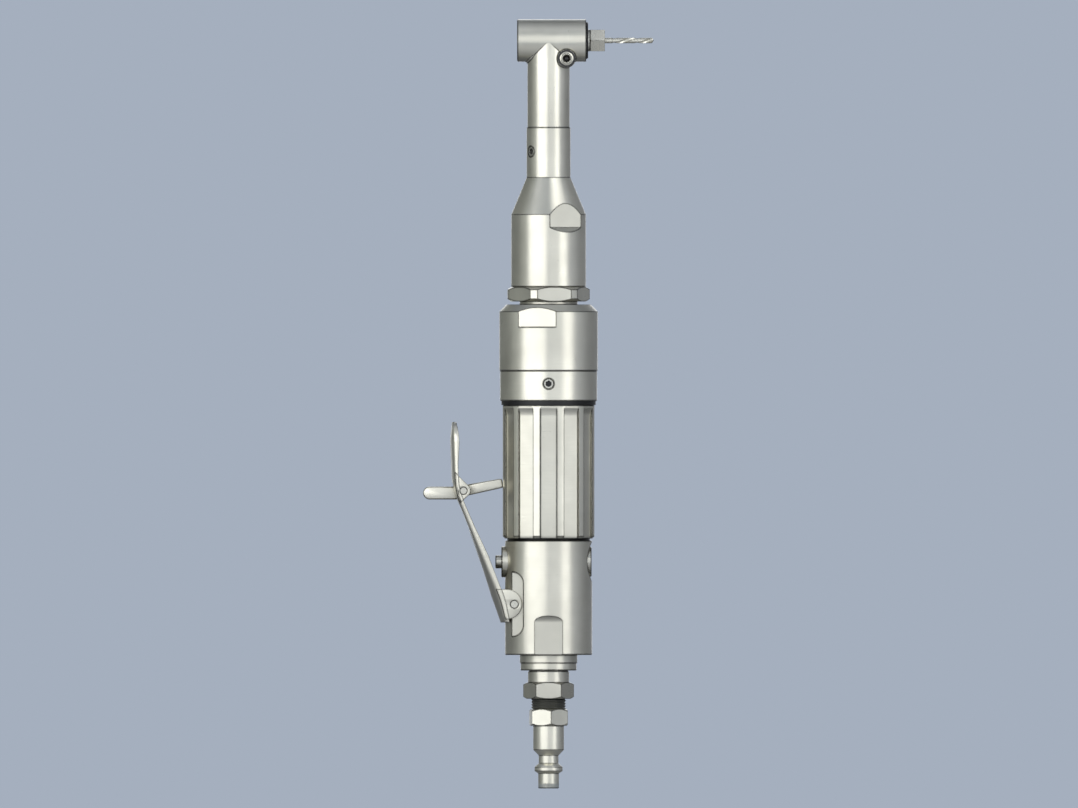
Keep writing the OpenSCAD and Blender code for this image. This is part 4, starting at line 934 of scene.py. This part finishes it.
@dataclass
class DrillBit:
    """Stub drill with a hexagonal driver and a threaded shank."""

    height: float = HEAD_Z
    start: float = 16.8
    across: float = 8.6
    hex_len: float = 5.7
    hex_chamfer: Pair = (0.25, 0.25)
    radius: float = 1.1
    length: float = 19.55
    plain: float = 2.9
    turns: float = 0.9
    flute_at: Pair = (0.95, 0.25)
    flute_r: float = 0.62
    flute_fade: float = 1.2
    core: float = 0.2
    half_point: float = 59.0
    thread_r: float = 3.1
    thread_len: float = 8.0
    overlap: float = 0.3
    blend: float = 0.05
    corners: int = 44
    steps: int = 80

    def _flute(self, angle: float) -> float:
        """Radius of the fluted section in one direction.

        Args:
            angle: The direction, in radians.

        Returns:
            The radius.
        """
        best = self.radius
        for side in (-1, 1):
            cx, cy = (side * self.radius * share for share in self.flute_at)
            q = self.radius * self.flute_r
            along = cx * cos(angle) + cy * sin(angle)
            off = cx * sin(angle) - cy * cos(angle)
            if along > 0 and abs(off) < q:
                best = min(best, along - sqrt(q * q - off * off))
        return max(best, self.core * self.radius)

    def build(self) -> None:
        """Builds the driver, the shank and the fluted length."""
        origin = (0.0, 0.0, self.height)
        hex_end = self.start + self.hex_len
        flute_start = hex_end + self.plain
        shape = Shape().loft(hex_rings(self.across, self.start, hex_end, 0, self.hex_chamfer,
                                       Axis.X, origin))
        shape.turn(bar(0, self.thread_r, self.start - self.thread_len, self.start + self.overlap),
                   Axis.X, origin, steps=48)
        shape.turn(bar(0, self.radius, hex_end - self.overlap, flute_start + self.blend),
                   Axis.X, origin, steps=self.corners)
        run = self.length - self.plain
        point = self.radius / tan(radians(self.half_point))
        section = [self._flute(tau * k / self.corners) for k in range(self.corners)]
        rings: list[Ring] = []
        for i in range(self.steps + 1):
            h = run * i / self.steps
            fade = min(1.0, h / self.flute_fade)
            limit = self.radius if h < run - point else self.radius * (run - h) / point
            radii = [min(limit, self.radius + (r - self.radius) * fade) for r in section]
            rings.append(ring(radii, flute_start + h, Axis.X, origin, -tau * self.turns * h / run))
        shape.loft(rings)
        bit = shape.build("drill_bit_body", "bit_steel", crease=38)
        settle(bit, "spindle_body", "bit_steel", "drill_bit")


@dataclass
class ThrottleSpring:
    """Spring that closes the throttle valve, between the valve's head and the cap; the coil keeps
    one length.
    """

    low: float = -0.4
    high: float = 9.6
    height: float = VALVE_Z
    radius: float = 3.2
    wire: float = 0.45
    turns: float = 5.0
    travel: float = 1.5

    def build(self) -> None:
        """Builds the coil along X and puts it on the housing."""
        room = self.high - self.low
        coil = helix("throttle_spring_coil", "spring_steel", self.radius, self.wire, self.turns,
                     room - 2 * self.wire, sides=12, around=40)
        shift = Matrix.Translation(Vector((self.low + self.wire, 0, self.height)) * MM)
        coil.data.transform(shift @ Matrix.Rotation(pi / 2, 4, "Y"))
        spring = dress(mesh_of(coil), "throttle_spring_wire", "spring_steel", crease=60)
        settle(spring, "housing_body", "spring_steel", "throttle_spring")
        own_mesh(spring)


@dataclass
class Lever:
    """Pressed throttle lever: a shallow channel with ears at the pivot and lugs for the latch."""

    pivot: Pair = (-13.7, 73.7)
    latch: Pair = LATCH_PIN
    half: float = LEVER_HALF
    sheet: float = SHEET
    bend: float = 1.1
    heel: float = 7.3
    top: float = 72.9
    heel_x: float = -17.2
    heel_lean: float = 14.4
    heel_fade: Pair = (6.0, 0.17)
    main_lean: float = 22.6
    tip_lean: float = 2.0
    tip_fade: Pair = (12.0, 6.5)
    tip_corner: float = 7.2
    corner_keep: float = 0.98
    least_lip: float = 0.1
    ear_r: float = 6.0
    ear_x: float = -16.6
    lug_r: float = 2.8
    lug_reach: Pair = (4.9, 7.4)
    pin_r: float = 1.5
    pivot_r: float = 1.65
    plate_edge: float = 0.18
    slot_half: float = 4.9
    slot_gap: float = 0.2
    foot_len: float = FOOT_LEN
    valve_z: float = VALVE_Z
    pad_r: float = 2.4
    pad_x: float = -23.7
    pad_edge: float = 0.3
    tuck: float = 0.3
    inset: float = 0.04
    slices: int = 60
    crown: tuple[Pair, ...] = (
        (0, 0.187), (0.12, 0.271), (0.262, 0.168), (0.478, 0.056), (0.565, 0.042),
        (0.714, 0.112), (0.913, 0.117), (1, 0.028))
    flange: tuple[Pair, ...] = (
        (0, 1.31), (0.166, 1.85), (0.34, 2.15), (0.478, 1.69), (0.615, 1.54), (0.69, 1.23),
        (0.789, 1.31), (0.902, 1.92), (0.951, 1.69), (1, 1.15))

    def lean(self, z: float) -> float:
        """Lean of the lever.

        Args:
            z: The height.

        Returns:
            The lean, in degrees.
        """
        h = z - self.pivot[1]
        rise = self.latch[1] - self.pivot[1]
        heel = ease(h / self.heel_fade[0] + self.heel_fade[1])
        tip = ease((h - rise + self.tip_fade[1]) / self.tip_fade[0])
        return (self.heel_lean + (self.main_lean - self.heel_lean) * heel
                + (self.tip_lean - self.main_lean) * tip)

    def edge(self, z: float) -> float:
        """Place of the lever's back edge along X.

        Args:
            z: The height.

        Returns:
            The place.
        """
        low = self.pivot[1] - self.heel
        dz = (z - low) / self.slices
        leans = (self.lean(low + dz * (i + 0.5)) for i in range(self.slices))
        return self.heel_x - dz * sum(tan(radians(lean)) for lean in leans)

    def _section(self, z: float) -> tuple[list[Point], list[Point]]:
        """Cuts the channel across.

        Args:
            z: The height of the cut.

        Returns:
            The sheet's outer and inner line, with equal counts.
        """
        past = max(0.0, z - (self.pivot[1] + self.top) + self.tip_corner)
        wide = self.half - self.tip_corner + sqrt(
            self.tip_corner ** 2 - past * past * self.corner_keep)
        inside = wide - self.sheet
        share = (z - self.pivot[1] + self.heel) / (self.heel + self.top)
        crown = self.half * np.interp(share, *zip(*self.crown))
        thick = self.sheet / cos(radians(self.lean(z)))
        flange = self.sheet * np.interp(share, *zip(*self.flange))
        lip = thick + max(self.least_lip, flange - thick)
        soft, slot = 0.3 * self.bend, self.slot_half / wide
        outer = [(lip, 1.0), (self.bend, 1.0), (soft, 1 - soft / wide)]
        inner = [(lip, 1.0), (max(thick, self.bend), 1.0), (thick, 1.0)]
        for s in (0.9, 0.8, 0.68, 0.56, slot, 0.34, 0.2, 0.08):
            outer.append((-crown * (1 - s * s), s))
            inner.append((thick - crown * (1 - (s * inside / wide) ** 2),
                          self.slot_half / inside if s == slot else s))
        x = self.edge(z)
        lines = []
        for line, reach in ((outer, wide), (inner, inside)):
            half_line = [(x + dx, reach * s, z) for dx, s in line]
            lines.append([(px, -py, pz) for px, py, pz in half_line] + half_line[::-1])
        return lines[0], lines[1]

    def _channel(self) -> Mesh:
        """The channel with the slot that the latch passes through.

        Returns:
            The mesh, in metres.
        """
        low, tip = self.pivot[1] - self.heel, self.pivot[1] + self.top - self.tip_corner
        foot = self.latch[1] - self.foot_len + self.slot_gap
        head = self.latch[1] + self.lug_r + self.slot_gap
        below, beside, above, corner = 22, 14, 16, 9
        spans = ((low, foot, below), (foot, head, beside), (head, tip, above))
        heights = [a + (b - a) * k / n for a, b, n in spans for k in range(n)]
        heights += [tip + self.tip_corner * sin(pi / 2 * k / corner)
                    for k in range(corner + 1)]
        rows = [self._section(z) for z in heights]
        count = len(rows[0][0])
        shape = Shape()
        for outer, inner in rows:
            shape.points += outer + inner

        def spot(i: int, k: int, inner: int) -> int:
            """Index of a point by row, column and side of the sheet."""
            return (i * 2 + inner) * count + k

        first = next(k for k, p in enumerate(rows[0][0]) if abs(p[1]) < self.slot_half + 1e-6)
        cells = {(i, k) for i in range(len(rows) - 1) for k in range(count - 1)
                 if not (below <= i < below + beside and first <= k < count - 1 - first)}
        for i, k in cells:
            for inner in (0, 1):
                shape.faces.append((spot(i, k, inner), spot(i, k + 1, inner),
                                    spot(i + 1, k + 1, inner), spot(i + 1, k, inner)))
            for di, dk, a, b in ((-1, 0, (i, k), (i, k + 1)), (1, 0, (i + 1, k), (i + 1, k + 1)),
                                 (0, -1, (i, k), (i + 1, k)), (0, 1, (i, k + 1), (i + 1, k + 1))):
                if (i + di, k + dk) not in cells:
                    shape.faces.append((spot(*a, 0), spot(*b, 0), spot(*b, 1), spot(*a, 1)))
        return mesh_of(shape.build("lever_channel", "lever_steel", crease=38, bevel=0.22))

    def _along(self, low: float, high: float) -> list[Pair]:
        """Points up the lever's back edge, just inside the sheet."""
        heights = [low + (high - low) * k / 12 for k in range(13)]
        return [(self.edge(z) + self.tuck, z) for z in heights]

    def build(self) -> None:
        """Builds the lever as one piece."""
        pz, lz = self.pivot[1], self.latch[1]
        ear = arc((self.ear_x, pz), self.ear_r, 90, -90, 28)
        ear += self._along(pz - self.ear_r, pz + self.ear_r)
        lug = arc(self.latch, self.lug_r, 42, -33, 12)
        lug += self._along(lz - self.lug_reach[0], lz + self.lug_reach[1])
        flats = (("ear", ear, hole(self.pivot, self.pivot_r)),
                 ("lug", lug, hole(self.latch, self.pin_r)))
        meshes = [self._channel()]
        for side in (-1, 1):
            middle = side * (self.half - self.sheet / 2 - self.inset)
            meshes += [plate(name, outline, middle, self.sheet, self.plate_edge, [bore])
                       for name, outline, bore in flats]
        back = self.edge(self.valve_z) + self.tuck
        pad = Shape().turn([(0, back), (self.pad_r, back), (self.pad_r, self.pad_x - self.pad_edge),
                            (self.pad_r - self.pad_edge, self.pad_x), (0, self.pad_x)],
                           Axis.X, (0, 0, self.valve_z), steps=40)
        meshes.append(mesh_of(pad.build("pad", "lever_steel")))
        lever = dress(joined(meshes, "lever"), "throttle_lever_body", "lever_steel", crease=38)
        settle(lever, "lever_body", "lever_steel", "throttle_lever")


@dataclass
class Latch:
    """Safety latch: a thumb arm behind the lever and a foot that blocks it."""

    pin: Pair = LATCH_PIN
    root: float = 1.75
    thumb_w: float = 9.0
    thumb_len: float = 16.2
    thumb_t: float = 5.2
    thumb_drop: float = 0.9
    thumb_edge: float = 0.7
    foot_w: float = 5.0
    foot_len: float = FOOT_LEN
    foot_over: float = 0.25
    foot_t: float = 3.8
    foot_rise: float = 11.2
    foot_flare: float = 0.3
    foot_corner: float = 0.9
    foot_edge: float = 0.6
    hub_r: float = 2.7
    hub_edge: float = 0.25
    bore: float = 1.55
    half: float = LEVER_HALF
    sheet: float = SHEET
    wire: float = 0.3
    wire_gap: float = 0.2
    coils: float = 3.0
    hub_gap: float = 0.1

    def build(self) -> None:
        """Builds the latch and the two coils of its spring."""
        x, z = self.pin
        t, low = self.thumb_t / 2, z - self.thumb_drop
        thumb = arc((x - self.thumb_len + t, low), t, 90, 270, 24)
        thumb += [(x - self.root, low - t), (x - self.root, low + t)]
        half, tip = self.foot_t / 2, self.foot_corner
        end = self.foot_len + self.foot_over - tip
        straight = [(self.root, -half - self.foot_flare),
                    *arc((end, tip - half), tip, -90, 0, 8), *arc((end, half - tip), tip, 0, 90, 8),
                    (self.root, half + self.foot_flare)]
        c, s = polar(1.0, radians(self.foot_rise))
        foot = [(x + u * c - v * s, z + u * s + v * c) for u, v in straight]
        w, soft = self.thumb_w / 2, self.hub_edge
        rim = [(self.bore, -w), (self.hub_r - soft, -w), (self.hub_r, soft - w)]
        rim += [(r, -h) for r, h in reversed(rim)]
        hub = Shape().turn(rim, Axis.Y, (x, 0, z), steps=56, closed=True)
        meshes = [plate("thumb", thumb, 0, self.thumb_w, self.thumb_edge),
                  plate("foot", foot, 0, self.foot_w, self.foot_edge),
                  mesh_of(hub.build("hub", "lever_steel"))]
        latch = dress(joined(meshes, "latch"), "safety_latch_body", "lever_steel", crease=30)
        settle(latch, "latch_body", "lever_steel", "safety_latch")
        self._spring()

    def _spring(self) -> None:
        """Builds the coils, one beside each end of the hub."""
        start = self.thumb_w / 2 + self.hub_gap + self.wire + self.wire_gap
        room = self.half - self.sheet - start - self.wire - self.wire_gap
        meshes = []
        for side in (-1, 1):
            coil = helix("coil", "spring_steel", self.bore + self.wire, self.wire, self.coils, room,
                         sides=12, around=32)
            turn = Matrix.Rotation(-side * pi / 2, 4, "X")
            shift = Matrix.Translation((self.pin[0] * MM, side * start * MM, self.pin[1] * MM))
            coil.data.transform(shift @ turn)
            meshes.append(mesh_of(coil))
        spring = dress(joined(meshes, "spring"), "latch_spring_coils", "spring_steel", crease=60)
        settle(spring, "lever_body", "spring_steel", "latch_spring")


# The room


@dataclass(frozen=True)
class Panel:
    """Soft lamp that faces the tool.

    Attributes:
        name: Name of the lamp.
        turn: Direction from the tool, in degrees from the camera's side, right positive.
        half: Half of its width as seen from the tool, in degrees.
        away: Distance, in metres.
        low: Height of its lower edge, in metres.
        high: Height of its upper edge, in metres.
        level: Brightness of its face.
    """

    name: str
    turn: float
    half: float
    away: float
    low: float
    high: float
    level: float

    def build(self) -> None:
        """Makes the lamp."""
        light = bpy.data.lights.new(self.name, "AREA")
        light.shape = "RECTANGLE"
        light.size = 2 * self.away * tan(radians(self.half))
        light.size_y = self.high - self.low
        light.energy = self.level * pi * light.size * light.size_y
        lamp = shown(self.name, light)
        t = radians(self.turn)
        lamp.location = (self.away * sin(t), -self.away * cos(t),
                         (self.low + self.high) / 2)
        lamp.rotation_euler = (pi / 2, 0, t)


@dataclass
class Studio:
    """Plain pale floor, soft lamps, grey screens at the sides and the camera."""

    width: float = 0.4312
    centre: Pair = (-0.00384, 0.1538)
    pale: Colour = (0.376, 0.429, 0.515)
    panels: tuple[Panel, ...] = (
        Panel("left_panel", -39.5, 34, 1.4, 0.004, 1.1, 2.15),
        Panel("middle_panel", 15, 14, 1.9, 0.004, 1.2, 0.95),
        Panel("right_panel", 46, 13, 1.5, 0.004, 1.2, 2.15),
        Panel("high_panel", 42, 28, 1.5, 1.2, 2.1, 2.5),
        Panel("rear_panel", 180, 18, 1.4, 0.02, 1.1, 1.2))
    side: Pair = (0.7, 0.27)
    side_span: Pair = (-0.45, 0.5)
    above: Pair = (0.9, 0.28)
    above_span: Pair = (-0.5, 0.8)
    above_z: float = 1.25
    below: Pair = (0.66, 0.12)
    below_span: Pair = (-0.3, 0.12)
    below_z: float = 0.002
    square: tuple[Pair, ...] = ((-1.1, -0.7), (1.1, -0.7), (1.1, 1.1), (-1.1, 1.1))
    screen_away: float = 1.3
    screen_high: float = 1.2
    screen_from: float = 64.0
    screen_sweep: float = 100.0
    left_tint: Colour = (1.0, 0.99, 0.84)
    right_tint: Colour = (1.3, 1.27, 1.26)
    flat_tint: Colour = (1.05, 1.03, 1.02)
    camera_away: float = 1.5
    floor_radius: float = 6.0
    floor_corners: int = 64
    floor_fade: Pair = (0.05, 0.5)

    def build(self) -> None:
        """Makes the camera, floor, world, lamps and screens."""
        self._camera()
        self._world()
        self._floor()
        for panel in self.panels:
            panel.build()
        steps = 24
        faces = [(2 * k, 2 * k + 1, 2 * k + 3, 2 * k + 2) for k in range(steps)]
        for name, sign, tint in (("left_screen", -1, self.left_tint),
                                 ("right_screen", 1, self.right_tint)):
            turns = [sign * radians(self.screen_from + self.screen_sweep * k / steps)
                     for k in range(steps + 1)]
            points = [(self.screen_away * sin(t), -self.screen_away * cos(t), z)
                      for t in turns for z in (0.0, self.screen_high)]
            self._screen(name, points, faces, tint, self.side, self.side_span)
        for name, z, levels, span in (
                ("top_screen", self.above_z, self.above, self.above_span),
                ("low_screen", self.below_z, self.below, self.below_span)):
            corners = [(x, y, z) for x, y in self.square]
            self._screen(name, corners, [(0, 1, 2, 3)], self.flat_tint, levels, span)

    def _camera(self) -> None:
        """Level camera with parallel rays, as the photograph was drawn."""
        lens = bpy.data.cameras.new("camera")
        lens.type = "ORTHO"
        lens.ortho_scale = self.width
        lens.clip_end = 20
        camera = shown("camera", lens)
        camera.location = (self.centre[0], -self.camera_away, self.centre[1])
        camera.rotation_euler = (pi / 2, 0, 0)
        bpy.context.scene.camera = camera

    def _floor(self) -> None:
        """Disc that takes the tool's shadow and fades into the surroundings' colour."""
        disc = ring([self.floor_radius] * self.floor_corners, -2e-5)
        soft = tuple(c * 0.97 for c in self.pale)
        shader, lit = self._paint("floor", self.pale, soft, (-1, 1))
        away = shader.add("ShaderNodeVectorMath", {"operation": "LENGTH"}, {0: shader.place()}, 1)
        path, gloss, clear = (shader.add("ShaderNodeLightPath", {}, {}, f"Is {kind} Ray")
                              for kind in ("Camera", "Glossy", "Transmission"))
        even = shader.add("ShaderNodeEmission", {}, {"Color": (*self.pale, 1)})
        share = away.ramp(*self.floor_fade) * (path + gloss + clear)
        shader.end(shader.add("ShaderNodeMixShader", {}, {0: share, 1: lit, 2: even}))
        self._board("floor", disc, [tuple(range(len(disc)))], shader)

    @staticmethod
    def _paint(name: str, near: Colour, far: Colour, span: Pair) -> tuple[Shader, Value]:
        """Starts a dull paint whose colour runs from near to far along Y.

        Args:
            name: Name of the board that gets it.
            near: Colour towards the camera.
            far: Colour at the back.
            span: Where the run between them starts and ends along Y, in metres.

        Returns:
            The shader and its lit surface.
        """
        shader = Shader(f"{name}_paint")
        depth = shader.add("ShaderNodeSeparateXYZ", {}, {0: shader.place()}, 1)
        colour = shader.mix(depth.ramp(*span), near, far)
        dull = {"Base Color": colour, "Roughness": 0.85}
        return shader, shader.add("ShaderNodeBsdfPrincipled", {}, dull)

    @staticmethod
    def _board(name: str, points: list[Point], faces: list[Face], shader: Shader) -> Piece:
        """A board of the room.

        Args:
            name: Name of the board.
            points: Corners, in metres.
            faces: Faces by corner index.
            shader: Its finished paint.

        Returns:
            The board.
        """
        mesh = bpy.data.meshes.new(name)
        mesh.from_pydata(points, [], faces)
        mesh.materials.append(shader.material)
        board = shown(name, mesh)
        return board

    def _screen(self, name: str, points: list[Point], faces: list[Face], tint: Colour,
                levels: Pair, span: Pair) -> None:
        """A grey board that shows in reflections only.

        Args:
            name: Name of the board.
            points: Corners, in metres.
            faces: Faces by corner index.
            tint: Its hue.
            levels: Its brightness towards the camera and at the back.
            span: Where the run between them starts and ends along Y, in metres.
        """
        near, far = (tuple(c * level for c in tint) for level in levels)
        shader, surface = self._paint(name, near, far, span)
        shader.end(surface)
        board = self._board(name, points, faces, shader)
        board.visible_camera = False
        board.visible_diffuse = False
        board.visible_shadow = False

    def _world(self) -> None:
        """Even pale surroundings, seen directly and in reflections."""
        room = bpy.data.worlds.new("room")
        room.use_nodes = True
        bpy.context.scene.world = room
        background = room.node_tree.nodes["Background"]
        background.inputs["Color"].default_value = (*self.pale, 1)
        background.inputs["Strength"].default_value = 1.0


def paint_frame() -> None:
    """Gives every CAD node the finish of its slot, and head and housing one of their own."""
    for name, node in frame["nodes"].items():
        slot = node.material_slots[0].material.name.split(".")[0]
        finish = slot if slot in FINISHES else "body_metal"
        if name in HEAD_NODES and finish in ("body_metal", "plug_steel"):
            finish = "head_metal"
        if name == "throttle_housing":
            finish = "housing_metal"
        for place in node.material_slots:
            place.material = material(finish)


def main() -> None:
    """Builds the pieces in order."""
    logging.basicConfig(level=logging.INFO, format="%(name)s: %(message)s")
    Studio().build()
    paint_frame()
    AirPlug().build()
    GripSleeve().build()
    SocketScrew("clamp_ring_screw", radius=2.17, face=1.7, foot=0.0,
                origin=(0.0, -17.63, 161.9), swing=-90.0).build()
    SocketScrew("adapter_screw", radius=2.14, face=8.55, foot=7.65,
                origin=(0.0, 0.0, 254.8), swing=-145.0).build()
    NeckFillet().build()
    GreaseFitting().build()
    DrillBit().build()
    ThrottleSpring().build()
    Lever().build()
    Latch().build()
    bpy.context.scene.view_settings.view_transform = "Standard"


if __name__ == "__main__":
    main()
